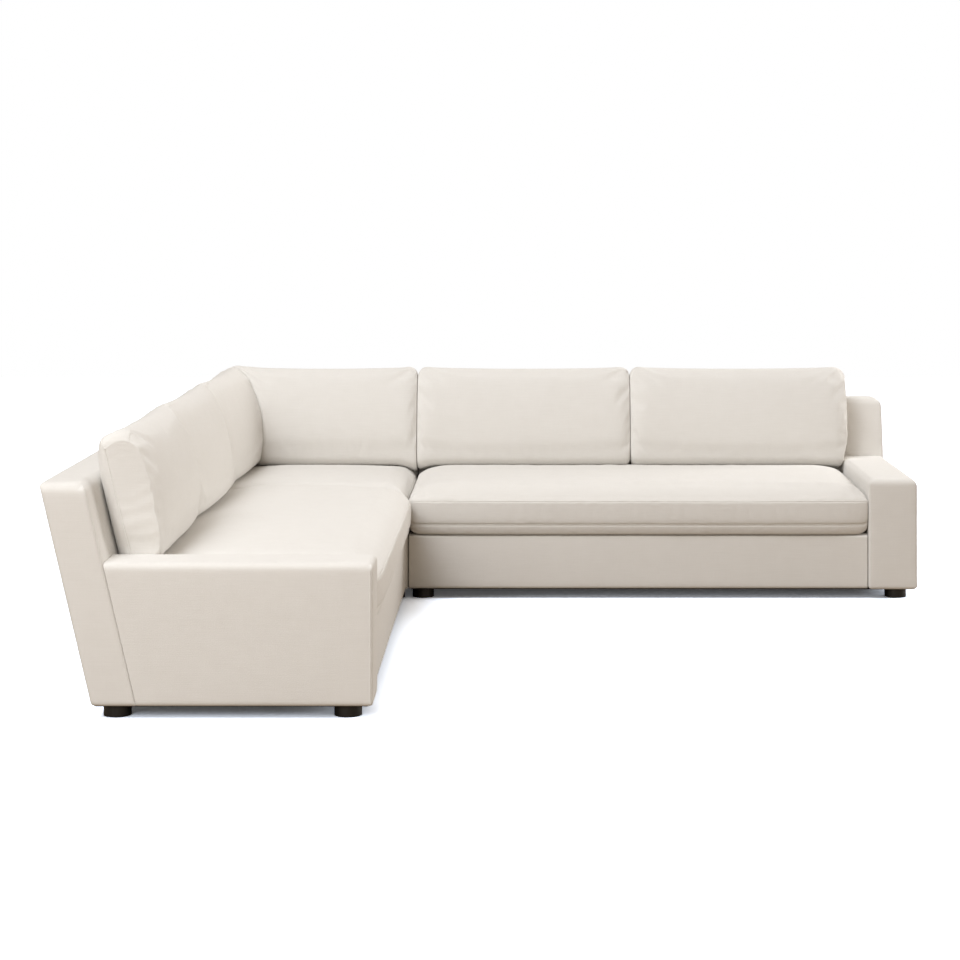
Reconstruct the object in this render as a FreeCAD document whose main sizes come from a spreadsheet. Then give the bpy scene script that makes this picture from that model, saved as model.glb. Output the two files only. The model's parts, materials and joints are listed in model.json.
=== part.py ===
# An L-shaped sectional sofa in three units: a square corner unit and two one-arm sofas, one on each side.
# The right sofa runs along +X with its back towards +Y. The left sofa is its mirror image in the
# vertical plane through the L's corner, so it runs along -Y with its back towards -X.
# Each unit is a timber frame with webbing, padded covers, a deck, feet and a dust cover below.
# The seat and back cushions are loose. Hooked brackets under the seats tie the units together.
# The origin is on the floor, in the middle of the square that the L fits in. Lengths are millimetres.

import FreeCAD
import Part
import Sketcher
import math
import os

NODES_FOLDER = "parts"

# Driving dimensions, one spreadsheet cell each
SIZES = {
    # whole units
    "unit_width": 2286.0,
    "unit_depth": 1143.0,
    "unit_gap": 4.0,
    "floor_gap": 45.0,
    "deck_height": 290.0,
    # raked back: lean is the run for each unit of rise
    "back_height": 816.0,
    "back_thickness": 158.0,
    "back_lean_share": 0.236,
    "back_edge_radius": 38.0,
    "back_rear_radius": 16.0,
    "back_seam_radius": 6.0,
    # square arm
    "arm_width": 216.0,
    "arm_height": 540.0,
    "arm_lip": 8.0,
    "arm_edge_radius": 26.0,
    # padding and cloth
    "cover_wall": 22.0,
    "front_panel_thickness": 30.0,
    "side_panel_thickness": 12.0,
    "panel_edge_radius": 12.0,
    "hem_size": 6.0,
    "deck_pad_thickness": 22.0,
    "dust_cover_thickness": 1.5,
    "dust_cover_inset": 12.0,
    # timber
    "rail_thickness": 32.0,
    "board_thickness": 40.0,
    "arm_board_thickness": 25.0,
    "cross_rail_depth": 110.0,
    "corner_block_side": 75.0,
    "corner_block_height": 60.0,
    # webbing
    "strap_width": 60.0,
    "strap_thickness": 2.5,
    "strap_pitch": 165.0,
    "back_strap_pitch": 260.0,
    "long_strap_pitch": 230.0,
    "post_pitch": 560.0,
    # feet and their bolts
    "foot_radius": 48.5,
    "foot_side_inset": 63.0,
    "foot_front_inset": 84.0,
    "bolt_radius": 4.0,
    "bolt_clearance": 0.2,
    "bolt_in_foot": 28.0,
    "bolt_in_frame": 34.0,
    "bolt_end_clearance": 1.0,
    # hooked brackets between the units
    "bracket_plate": 3.0,
    "bracket_width": 44.0,
    "bracket_flange": 56.0,
    "bracket_edge_gap": 8.0,
    "bracket_front_run": 126.0,
    "bracket_rear_run": 246.0,
    "socket_drop": 19.0,
    "socket_lip": 14.0,
    "tongue_place": 26.0,
    "tongue_length": 32.0,
    "tongue_width": 34.0,
    "tongue_tip_taper": 7.0,
    "tongue_fit": 0.3,
    "tongue_edge_clearance": 1.0,
    "screw_radius": 2.0,
    "screw_clearance": 0.15,
    "screw_length": 24.0,
    "screw_head_radius": 4.2,
    "screw_head_height": 2.4,
    "screw_pitch": 24.0,
    "screw_inset": 30.0,
    # clearances between loose pieces
    "rest_gap": 0.3,
    "side_gap": 1.0,
    "mitre_gap": 0.8,
    # seat cushions: heights are above the deck
    "seat_lip": 12.0,
    "seat_band_bulge": 6.0,
    "seat_toe": 30.0,
    "seat_lower_seam": 50.0,
    "seat_upper_seam": 153.0,
    "seat_nose_run": 140.0,
    "seat_nose_height": 222.0,
    "seat_nose_bulge": 26.0,
    "seat_crown_bulge": 13.0,
    "seat_rear_height": 190.0,
    "seat_front_draw": 30.0,
    "seat_top_draw": 56.0,
    "seat_end_run": 180.0,
    "core_inset": 80.0,
    "core_lift": 24.0,
    "core_thickness": 100.0,
    "core_gap": 0.3,
    # back cushions: thickness is across the rake and height is along it
    "cushion_thickness": 172.0,
    "cushion_height": 496.0,
    "cushion_belly": 40.0,
    "cushion_top_thickness": 160.0,
    "cushion_toe": 26.0,
    "cushion_crown": 42.0,
    "cushion_front_draw": 12.0,
    "cushion_rear_draw": 40.0,
    "cushion_end_run": 120.0,
    "cushion_top_corner": 48.0,
    "cushion_foot_corner": 30.0,
    # cutting tools
    "overrun": 6.0,
}

# Counts and shares
STATION_SHARES = (0.0, 0.05, 0.16, 0.4, 1.0)
DRAWN_BULGE_SHARE = 0.6
DRAWN_SEAM_SHARE = 0.4
DRAWN_TOP_SHARE = 0.6
QUARTER_ROUND_SHARE = 0.8 * (1 - math.sqrt(0.5))
CROWN_BULGE_SHARE = 0.24
BACK_CUSHIONS_PER_SOFA = 2
CROSS_RAILS = 2
SHANK_SIDES = 8
HEAD_SIDES = 6
SAME_PLACE = 0.01
EDGE_SIZES = {"Fillet": "Radius", "Chamfer": "Size"}

doc = FreeCAD.newDocument("SectionalSofa")
sheet = doc.addObject("Spreadsheet::Sheet", "Sizes")
for row, (alias, number) in enumerate(SIZES.items(), start=1):
    sheet.set(f"A{row}", alias)
    sheet.set(f"B{row}", str(number))
    sheet.setAlias(f"B{row}", alias)
doc.recompute()


class Size:
    """A length with the spreadsheet formula that gives it, so that code and expressions share one source."""

    def __init__(self, formula, value):
        self.formula = formula
        self.value = value

    def __add__(self, other):
        return combined(self, "+", other, self.value + value_of(other))

    def __sub__(self, other):
        return combined(self, "-", other, self.value - value_of(other))

    def __mul__(self, other):
        return combined(self, "*", other, self.value * value_of(other))

    def __truediv__(self, other):
        return combined(self, "/", other, self.value / value_of(other))

    def __neg__(self):
        return Size(f"(-1 * {self.formula})", -self.value)


def root(size):
    return Size(f"sqrt({size.formula})", math.sqrt(size.value))


def value_of(term):
    return term.value if isinstance(term, Size) else term


def formula_of(term):
    return term.formula if isinstance(term, Size) else repr(term)


def combined(left, sign, right, value):
    return Size(f"({left.formula} {sign} {formula_of(right)})", value)


class Dimensions:
    """The spreadsheet's cells as attributes, each a Size."""

    def __init__(self):
        for name in SIZES:
            setattr(self, name, Size(f"Sizes.{name}", float(sheet.get(name))))


dim = Dimensions()
ZERO = Size("0", 0.0)

# Places that follow from the driving dimensions
half = (dim.unit_width + dim.unit_depth) / 2
inner = half - dim.unit_depth
sofa_start = dim.unit_gap / 2 - inner
corner_end = -inner - dim.unit_gap / 2
corner_front = inner + dim.unit_gap / 2
arm_inside = half - dim.arm_width
lean_run = (dim.back_height - dim.floor_gap) * dim.back_lean_share
slant = root(dim.back_lean_share * dim.back_lean_share + 1)
rounding_loss = dim.back_rear_radius * (dim.back_lean_share + slant - 1)
back_toe = dim.unit_depth + rounding_loss - lean_run - dim.back_thickness
arm_front = inner - dim.arm_lip
frame_front = inner + dim.front_panel_thickness
frame_start = sofa_start + dim.side_panel_thickness
strap_top = dim.deck_height - dim.deck_pad_thickness
long_strap_base = strap_top - dim.strap_thickness
rail_top = long_strap_base - dim.strap_thickness
dust_base = dim.floor_gap - dim.dust_cover_thickness
rear_foot_y = inner + back_toe + dim.back_thickness / 2
rake_angle = math.atan(dim.back_lean_share.value)

sub_parts = []


def keep(thing, name):
    """Gives a finished sub-part its own label and puts it on the list of nodes."""
    thing.Label = name
    sub_parts.append(thing)
    return thing


def bind(thing, settings):
    for name, size in settings.items():
        thing.setExpression(name, size.formula)


def place(thing, x, y, z):
    bind(thing, {".Placement.Base.x": x, ".Placement.Base.y": y, ".Placement.Base.z": z})


def box(name, x, y, z):
    """A block between two places on each axis."""
    made = doc.addObject("Part::Box", name)
    bind(made, {"Length": x[1] - x[0], "Width": y[1] - y[0], "Height": z[1] - z[0]})
    place(made, x[0], y[0], z[0])
    return made


def upright(y):
    """A vertical plane across Y, the same at every height."""
    return lambda height: y


def behind_face(offset):
    """A raked plane, this far behind the front face of the right sofa's back."""
    return lambda height: inner + back_toe + (height - dim.floor_gap) * dim.back_lean_share + offset


back_face = behind_face(ZERO)


def raked_block(name, x, front, rear, z):
    """A block whose front and rear faces may lean with the back. The wedge's own Y axis stands up."""
    made = doc.addObject("Part::Wedge", name)
    bind(
        made,
        {
            "Xmin": x[0],
            "Xmax": x[1],
            "X2min": x[0],
            "X2max": x[1],
            "Ymin": z[0],
            "Ymax": z[1],
            "Zmin": -rear(z[0]),
            "Zmax": -front(z[0]),
            "Z2min": -rear(z[1]),
            "Z2max": -front(z[1]),
        },
    )
    made.Placement = FreeCAD.Placement(FreeCAD.Vector(), FreeCAD.Rotation(FreeCAD.Vector(1, 0, 0), 90))
    return made


def rod(name, x, y, z, radius, sides=SHANK_SIDES):
    """A straight rod with flats, which is round enough for a hidden shank and its hole."""
    made = doc.addObject("Part::Prism", name)
    made.Polygon = sides
    bind(made, {"Circumradius": radius, "Height": z[1] - z[0]})
    place(made, x, y, z[0])
    return made


def cut(name, base, tools):
    """Base with every tool taken away."""
    together = tools[0]
    if len(tools) > 1:
        together = doc.addObject("Part::Compound", f"{name}_tools")
        together.Links = tools
    made = doc.addObject("Part::Cut", name)
    made.Base = base
    made.Tool = together
    return made


def group(name, pieces):
    """Several separate solids as one sub-part."""
    made = doc.addObject("Part::Compound", name)
    made.Links = pieces
    return made


def mirrored(name, source):
    """The left-hand copy, in the upright plane through the L's corner."""
    made = doc.addObject("Part::Mirroring", name)
    made.Source = source
    made.Normal = (1, 1, 0)
    return made


def right_and_left(thing, name):
    """Keeps a right-hand sub-part and its left-hand mirror image."""
    keep(thing, f"right_{name}")
    keep(mirrored(f"left_{name}_mirror", thing), f"left_{name}")


def evenly(low, high, pitch, size):
    """Places of equal pieces of this size, spread from low to high about one pitch apart."""
    count = max(2, round((high.value - low.value) / pitch.value) + 1)
    step = (high - size - low) / (count - 1)
    return [low + step * n for n in range(count)]


# Sketched bodies


def plane_of(body, role):
    return next(feature for feature in body.Origin.OriginFeatures if feature.Role == role)


def outline(body, name, role, points, offset=None):
    """A closed outline of straight lines, each corner held by the spreadsheet."""
    sketch = body.newObject("Sketcher::SketchObject", name)
    sketch.AttachmentSupport = [(plane_of(body, role), "")]
    sketch.MapMode = "FlatFace"
    if offset is not None:
        sketch.setExpression(".AttachmentOffset.Base.z", offset.formula)
    corners = [FreeCAD.Vector(along.value, up.value, 0) for along, up in points]
    for index, corner in enumerate(corners):
        sketch.addGeometry(Part.LineSegment(corner, corners[(index + 1) % len(corners)]))
    for index in range(len(corners)):
        sketch.addConstraint(Sketcher.Constraint("Coincident", index, 2, (index + 1) % len(corners), 1))
    for index, (along, up) in enumerate(points):
        for kind, size, axis in (("DistanceX", along, -2), ("DistanceY", up, -1)):
            if size is ZERO:
                sketch.addConstraint(Sketcher.Constraint("PointOnObject", index, 1, axis))
                continue
            number = sketch.addConstraint(Sketcher.Constraint(kind, -1, 1, index, 1, size.value))
            sketch.setExpression(f"Constraints[{number}]", size.formula)
    return sketch



def padded_body(name, points, length, edgings):
    """A profile pulled out to a length, then softened. Each edging: a feature, a size, a test of edges."""
    body = doc.addObject("PartDesign::Body", name)
    sketch = outline(body, f"{name}_profile", "YZ_Plane", points)
    last = body.newObject("PartDesign::Pad", f"{name}_pad")
    last.Profile = sketch
    bind(last, {"Length": length})
    for number, (kind, size, chosen) in enumerate(edgings, start=1):
        doc.recompute()
        edges = [f"Edge{n}" for n, edge in enumerate(last.Shape.Edges, start=1) if chosen(ends(edge))]
        if not edges:
            raise RuntimeError(f"{name}: edging {number} found no edge")
        soft = body.newObject(f"PartDesign::{kind}", f"{name}_edging_{number}")
        soft.Base = (last, edges)
        bind(soft, {EDGE_SIZES[kind]: size})
        last = soft
    body.Tip = last
    return body


def hollowed(body, points, wall, length):
    """A cavity of this profile, from one wall's thickness inside the near end."""
    before = body.Tip
    sketch = outline(body, f"{body.Name}_cavity_profile", "YZ_Plane", points, offset=wall)
    pocket = body.newObject("PartDesign::Pocket", f"{body.Name}_cavity")
    pocket.Profile = sketch
    pocket.Reversed = True
    bind(pocket, {"Length": length})
    doc.recompute()
    if pocket.Shape.Volume >= before.Shape.Volume:
        raise RuntimeError(f"{body.Name}: the cavity cut nothing")
    body.Tip = pocket
    return body


def ends(edge):
    return [vertex.Point for vertex in edge.Vertexes]


def nearly(a, b):
    return abs(a - b) < SAME_PLACE


def level(points, height):
    """Whether every point is at this height."""
    return all(nearly(spot.z, height.value) for spot in points)


def across_at(points, x):
    return all(nearly(spot.x, x.value) for spot in points)


def depth_at(points, y):
    return all(nearly(spot.y, y.value) for spot in points)


# Feet and bolts


def bolt_hole(name, x, y):
    reach = (
        dim.floor_gap - dim.bolt_in_foot - dim.bolt_end_clearance,
        dim.floor_gap + dim.bolt_in_frame + dim.bolt_end_clearance,
    )
    return rod(name, x, y, reach, dim.bolt_radius + dim.bolt_clearance)


def foot(name, x, y):
    """A round block with a blind hole for its bolt."""
    block = doc.addObject("Part::Cylinder", f"{name}_block")
    bind(block, {"Radius": dim.foot_radius, "Height": dust_base})
    place(block, x, y, ZERO)
    return cut(name, block, [bolt_hole(f"{name}_hole", x, y)])


def feet(name, places):
    return group(name, [foot(f"{name}_{n}", x, y) for n, (x, y) in enumerate(places, start=1)])


def bolts(name, places):
    reach = (dim.floor_gap - dim.bolt_in_foot, dim.floor_gap + dim.bolt_in_frame)
    pieces = [rod(f"{name}_{n}", x, y, reach, dim.bolt_radius) for n, (x, y) in enumerate(places, start=1)]
    return group(name, pieces)


def drilled(piece, places):
    """A timber with the bolt holes that its feet need."""
    holes = [bolt_hole(f"{piece.Name}_bolt_{n}", x, y) for n, (x, y) in enumerate(places, start=1)]
    return cut(f"{piece.Name}_drilled", piece, holes)


# Brackets: each is a bent plate, as drawn from the front, pulled out along Y.
# They stand between the feet, each a run away from the nearest foot.

bracket_top = dust_base
flange_base = bracket_top - dim.bracket_plate
socket_step = sofa_start - dim.bracket_edge_gap - dim.bracket_plate - dim.unit_gap
socket_base = flange_base - dim.socket_drop
tongue_x = sofa_start + dim.tongue_place
bracket_places = [
    inner + dim.foot_front_inset + dim.bracket_front_run,
    rear_foot_y - dim.bracket_rear_run,
]


def screw_places(flange_middle, y):
    """Two screws side by side along the flange."""
    return [(flange_middle, y - dim.screw_pitch / 2), (flange_middle, y + dim.screw_pitch / 2)]


def screw(name, x, y):
    """A six-sided head below the flange and a plain shank up into the rail."""
    head_reach = (flange_base - dim.screw_head_height, flange_base)
    head = rod(f"{name}_head", x, y, head_reach, dim.screw_head_radius, HEAD_SIDES)
    shank = rod(f"{name}_shank", x, y, (flange_base, flange_base + dim.screw_length), dim.screw_radius)
    made = doc.addObject("Part::Fuse", name)
    made.Base = head
    made.Tool = shank
    return made


def screw_hole(name, x, y):
    reach = (flange_base - dim.overrun, flange_base + dim.screw_length + dim.bolt_end_clearance)
    return rod(name, x, y, reach, dim.screw_radius + dim.screw_clearance)


def bent_plate(name, points, y, width):
    """A bent plate's edge outline in XZ, pulled out along Y about its middle."""
    body = doc.addObject("PartDesign::Body", name)
    sketch = outline(body, f"{name}_bend", "XZ_Plane", points)
    pad = body.newObject("PartDesign::Pad", f"{name}_pad")
    pad.Profile = sketch
    pad.Midplane = True
    bind(pad, {"Length": width})
    body.Tip = pad
    place(body, -half, y, ZERO)
    return body


def across(x):
    """X measured from the far left of the sofa, so that every sketched place is positive."""
    return x + half


def socket_bracket(name, y):
    """The corner unit's half: a flange, a step down, and a shelf with a slot for the tongue."""
    outer = socket_step - dim.bracket_flange
    lip_end = tongue_x + dim.tongue_fit + dim.bracket_plate / 2 + dim.socket_lip
    shelf_top = socket_base + dim.bracket_plate
    points = [
        (across(outer), flange_base),
        (across(socket_step), flange_base),
        (across(socket_step), socket_base),
        (across(lip_end), socket_base),
        (across(lip_end), shelf_top),
        (across(socket_step + dim.bracket_plate), shelf_top),
        (across(socket_step + dim.bracket_plate), bracket_top),
        (across(outer), bracket_top),
    ]
    plate = bent_plate(f"{name}_plate", points, y, dim.bracket_width)
    slot_half_width = dim.tongue_width / 2 + dim.tongue_edge_clearance
    slot_half_depth = dim.bracket_plate / 2 + dim.tongue_fit
    slot = box(
        f"{name}_slot",
        (tongue_x - slot_half_depth, tongue_x + slot_half_depth),
        (y - slot_half_width, y + slot_half_width),
        (socket_base - dim.overrun, shelf_top + dim.overrun),
    )
    middle = socket_step - dim.screw_inset
    spots = screw_places(middle, y)
    holes = [screw_hole(f"{name}_hole_{n}", *spot) for n, spot in enumerate(spots, start=1)]
    return cut(name, plate, [slot, *holes])


def tongue_bracket(name, y):
    """The sofa's half: a flange with a tapered tongue that hangs down through the slot."""
    flange_end = tongue_x + dim.bracket_flange
    near = tongue_x - dim.bracket_plate / 2
    far = tongue_x + dim.bracket_plate / 2
    tip = flange_base - dim.tongue_length
    points = [
        (across(near), tip),
        (across(far), tip),
        (across(far), flange_base),
        (across(flange_end), flange_base),
        (across(flange_end), bracket_top),
        (across(near), bracket_top),
    ]
    plate = bent_plate(f"{name}_plate", points, y, dim.tongue_width)
    trims = []
    for side, sign in (("near", -1), ("far", 1)):
        edge = y + dim.tongue_width / 2 * sign
        corner = doc.addObject("Part::Wedge", f"{name}_{side}_taper")
        low = edge - dim.tongue_tip_taper
        high = edge + dim.tongue_tip_taper
        bind(
            corner,
            {
                "Xmin": near - dim.overrun,
                "Xmax": far + dim.overrun,
                "X2min": near - dim.overrun,
                "X2max": far + dim.overrun,
                "Ymin": tip,
                "Ymax": tip + dim.tongue_tip_taper,
                "Zmin": -high,
                "Zmax": -low,
                "Z2min": -(high if sign > 0 else edge),
                "Z2max": -(edge if sign > 0 else low),
            },
        )
        corner.Placement = FreeCAD.Placement(FreeCAD.Vector(), FreeCAD.Rotation(FreeCAD.Vector(1, 0, 0), 90))
        trims.append(corner)
    middle = tongue_x + dim.screw_inset
    spots = screw_places(middle, y)
    holes = [screw_hole(f"{name}_hole_{n}", *spot) for n, spot in enumerate(spots, start=1)]
    return cut(name, plate, [*trims, *holes])


socket_screws = [spot for y in bracket_places for spot in screw_places(socket_step - dim.screw_inset, y)]
tongue_screws = [spot for y in bracket_places for spot in screw_places(tongue_x + dim.screw_inset, y)]

# Seat frame of the right sofa

front_left_foot = (sofa_start + dim.foot_side_inset, inner + dim.foot_front_inset)
front_arm_foot = (half - dim.foot_front_inset, inner + dim.foot_front_inset)
rear_left_foot = (sofa_start + dim.foot_side_inset, rear_foot_y)
rear_arm_foot = (half - dim.foot_front_inset, rear_foot_y)
sofa_feet = [front_left_foot, front_arm_foot, rear_left_foot, rear_arm_foot]


def sofa_seat_frame():
    rail = dim.rail_thickness
    seat = (frame_start, arm_inside)
    full = (dim.floor_gap, rail_top)
    rail_back = frame_front + rail
    rail_front = behind_face(-rail)
    end = (dim.floor_gap, long_strap_base)
    block = (dim.floor_gap, dim.floor_gap + dim.corner_block_height)
    start_rail = raked_block(
        "start_rail", (frame_start, frame_start + rail), upright(rail_back), rail_front, end
    )
    arm_rail = raked_block("arm_rail", (arm_inside - rail, arm_inside), upright(rail_back), rail_front, end)
    pieces = [
        box("front_rail", seat, (frame_front, rail_back), full),
        raked_block("rear_rail", seat, rail_front, back_face, full),
        cut(
            "start_rail_drilled",
            start_rail,
            [screw_hole(f"start_rail_screw_{n}", *spot) for n, spot in enumerate(tongue_screws, start=1)],
        ),
        arm_rail,
    ]
    bay = (arm_inside - frame_start) / (CROSS_RAILS + 1)
    for n in range(1, CROSS_RAILS + 1):
        middle = frame_start + bay * n
        width = (middle - rail / 2, middle + rail / 2)
        height = (rail_top - dim.cross_rail_depth, rail_top)
        pieces.append(raked_block(f"cross_rail_{n}", width, upright(rail_back), rail_front, height))
    sides = {
        "start": (frame_start + rail, frame_start + rail + dim.corner_block_side),
        "arm": (arm_inside - rail - dim.corner_block_side, arm_inside - rail),
    }
    for side, width in sides.items():
        front_span = (rail_back, rail_back + dim.corner_block_side)
        front_block = box(f"front_{side}_block", width, front_span, block)
        if side == "start":
            front_block = drilled(front_block, [front_left_foot])
        rear_start = behind_face(-rail - dim.corner_block_side)
        pieces.append(front_block)
        pieces.append(raked_block(f"rear_{side}_block", width, rear_start, rail_front, block))
    return group("sofa_seat_frame", pieces)


def straps(name, across_places, x_span_of, front, rear, z):
    return [
        raked_block(f"{name}_{n}", x_span_of(low), front, rear, z)
        for n, low in enumerate(across_places, start=1)
    ]


def sofa_seat_webbing():
    """Straps from front rail to rear rail, and long straps over them from end rail to end rail."""
    width = dim.strap_width
    low = (rail_top, long_strap_base)
    high = (long_strap_base, strap_top)
    first = frame_start + dim.rail_thickness
    last = arm_inside - dim.rail_thickness
    pieces = straps(
        "seat_strap",
        evenly(first, last, dim.strap_pitch, width),
        lambda start: (start, start + width),
        upright(frame_front),
        back_face,
        low,
    )
    rear_limit = back_face(rail_top) - dim.rail_thickness
    long_places = evenly(frame_front + dim.rail_thickness, rear_limit, dim.long_strap_pitch, width)
    for n, y in enumerate(long_places, start=1):
        pieces.append(box(f"long_strap_{n}", (frame_start, arm_inside), (y, y + width), high))
    return group("sofa_seat_webbing", pieces)


# Timber and webbing inside the raked back


def back_timber(name, x, posts, feet_below):
    """Foot rail, top rail and posts inside the back's cavity, between two places on X."""
    wall = dim.cover_wall
    front = behind_face(wall + dim.strap_thickness)
    rear = behind_face(dim.back_thickness - wall)
    foot_rail_top = dim.floor_gap + dim.board_thickness
    top_rail_base = dim.back_height - wall - dim.rail_thickness
    foot_rail = raked_block(f"{name}_foot_rail", x, front, rear, (dim.floor_gap, foot_rail_top))
    pieces = [
        drilled(foot_rail, feet_below),
        raked_block(f"{name}_top_rail", x, front, rear, (top_rail_base, dim.back_height - wall)),
    ]
    for n, post in enumerate(posts, start=1):
        width = (post, post + dim.rail_thickness)
        pieces.append(raked_block(f"{name}_post_{n}", width, front, rear, (foot_rail_top, top_rail_base)))
    return pieces


def back_straps(name, places):
    """Upright straps over the front of the two rails."""
    wall = dim.cover_wall
    front = behind_face(wall)
    rear = behind_face(wall + dim.strap_thickness)
    z = (dim.floor_gap, dim.back_height - wall)
    return straps(name, places, lambda start: (start, start + dim.strap_width), front, rear, z)


# Timber inside the arm


def arm_timber():
    wall = dim.cover_wall
    x = (arm_inside + wall, half - wall)
    front = arm_front + wall
    rear = behind_face(-wall)
    sole_top = dim.floor_gap + dim.board_thickness
    board_base = dim.arm_height - wall - dim.arm_board_thickness
    rail = dim.rail_thickness
    sole = raked_block("arm_sole", x, upright(front), rear, (dim.floor_gap, sole_top))
    middle = inner + back_toe / 2
    return group(
        "arm_timber",
        [
            drilled(sole, [front_arm_foot]),
            box("arm_front_post", x, (front, front + rail), (sole_top, board_base)),
            box("arm_middle_post", x, (middle, middle + rail), (sole_top, board_base)),
            raked_block("arm_rear_post", x, behind_face(-wall - rail), rear, (sole_top, board_base)),
            raked_block("arm_top_board", x, upright(front), rear, (board_base, dim.arm_height - wall)),
        ],
    )


# Padded covers


def back_profile(front_offset, rear_offset, bottom, top):
    """A leaning outline in YZ, measured from the front plane of the sofa."""
    low = back_toe + (bottom - dim.floor_gap) * dim.back_lean_share
    high = back_toe + (top - dim.floor_gap) * dim.back_lean_share
    return [
        (low + front_offset, bottom),
        (high + front_offset, top),
        (high + rear_offset, top),
        (low + rear_offset, bottom),
    ]


def back_cover(name, x, open_start):
    """The padded back. Its start may be open, where the two walls of the corner unit meet."""
    length = x[1] - x[0]
    top = dim.back_height
    wall = dim.cover_wall
    bottom = dim.floor_gap

    def on_slope(points, offset):
        rise = dim.back_lean_share.value
        toe = (back_toe + offset).value
        return all(nearly(spot.y, toe + (spot.z - bottom.value) * rise) for spot in points)

    def top_soft(points):
        at_end = across_at(points, length) and not open_start
        return level(points, top) and (at_end or on_slope(points, ZERO))

    def seam_soft(points):
        """The edge that runs down behind the arm, where the two covers meet."""
        return across_at(points, length) and on_slope(points, ZERO)

    def rear_soft(points):
        if not on_slope(points, dim.back_thickness) or level(points, bottom):
            return False
        at_end = across_at(points, length)
        return not across_at(points, ZERO) and not (open_start and at_end)

    def hem(points):
        return level(points, bottom) and on_slope(points, dim.back_thickness)

    outer = back_profile(ZERO, dim.back_thickness, bottom, top)
    edgings = [
        ("Fillet", dim.back_edge_radius, top_soft),
        ("Fillet", dim.back_rear_radius, rear_soft),
        ("Chamfer", dim.hem_size, hem),
    ]
    if not open_start:
        edgings.append(("Fillet", dim.back_seam_radius, seam_soft))
    body = padded_body(name, outer, length, edgings)
    cavity = back_profile(wall, dim.back_thickness - wall, bottom - dim.overrun, top - wall)
    hollowed(body, cavity, wall, length - wall * 2)
    place(body, x[0], inner, ZERO)
    return body


def arm_cover():
    """The padded arm: square, with a rear end that leans with the back."""
    wall = dim.cover_wall
    top = dim.arm_height
    bottom = dim.floor_gap

    def rear_at(height):
        return dim.arm_lip + back_toe + (height - bottom) * dim.back_lean_share

    def profile(front, rear_offset, low, high):
        return [
            (front, low),
            (front, high),
            (rear_at(high) + rear_offset, high),
            (rear_at(low) + rear_offset, low),
        ]

    def soft(points):
        along_top = level(points, top) and not depth_at(points, rear_at(top))
        return along_top or (depth_at(points, ZERO) and not level(points, bottom))

    def hem(points):
        return level(points, bottom) and depth_at(points, ZERO)

    edgings = [("Fillet", dim.arm_edge_radius, soft), ("Chamfer", dim.hem_size, hem)]
    body = padded_body("arm_cover_body", profile(ZERO, ZERO, bottom, top), dim.arm_width, edgings)
    hollowed(body, profile(wall, -wall, bottom - dim.overrun, top - wall), wall, dim.arm_width - wall * 2)
    place(body, arm_inside, arm_front, ZERO)
    return body


def front_panel():
    """The padded face below the seat cushion, from the unit boundary to the arm."""
    depth = dim.front_panel_thickness
    bottom = dim.floor_gap
    points = [(ZERO, bottom), (ZERO, dim.deck_height), (depth, dim.deck_height), (depth, bottom)]

    def soft(spots):
        return depth_at(spots, ZERO) and not level(spots, bottom)

    def hem(spots):
        return depth_at(spots, ZERO) and level(spots, bottom)

    edgings = [("Fillet", dim.panel_edge_radius, soft), ("Chamfer", dim.hem_size, hem)]
    body = padded_body("front_panel_body", points, arm_inside - sofa_start, edgings)
    place(body, sofa_start, inner, ZERO)
    return body


def side_panel(name, x, front):
    """The flat cloth-covered side that faces the next unit."""
    return raked_block(name, x, upright(front), back_face, (dim.floor_gap, dim.deck_height))


def dust_cover(name, x, y, foot_places, screw_spots):
    """Thin cloth under a unit, held between feet and frame, with a small hole at each bolt and screw."""
    cloth = box(f"{name}_cloth", x, y, (dust_base, dim.floor_gap))
    holes = [bolt_hole(f"{name}_bolt_{n}", *spot) for n, spot in enumerate(foot_places, start=1)]
    holes += [screw_hole(f"{name}_screw_{n}", *spot) for n, spot in enumerate(screw_spots, start=1)]
    return cut(name, cloth, holes)


# Seat cushions: a section in YZ at a place on X


def point(x, y, z):
    return FreeCAD.Vector(value_of(x), value_of(y), value_of(z))


def bulged(start, end, bulge):
    """An arc from start to end whose middle stands off the chord by this much, to the left of the way."""
    way = end - start
    side = FreeCAD.Vector(0, -way.z, way.y)
    side.normalize()
    middle = (start + end) * 0.5 + side * bulge
    return Part.Arc(start, middle, end).toShape()


def straight(start, end):
    return Part.LineSegment(start, end).toShape()


seat_base = dim.deck_height + dim.rest_gap
seat_rear_top = dim.deck_height + dim.seat_rear_height
cushion_rise = dim.cushion_thickness * math.sin(rake_angle)
cushion_reach = dim.cushion_thickness * math.cos(rake_angle)


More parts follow.
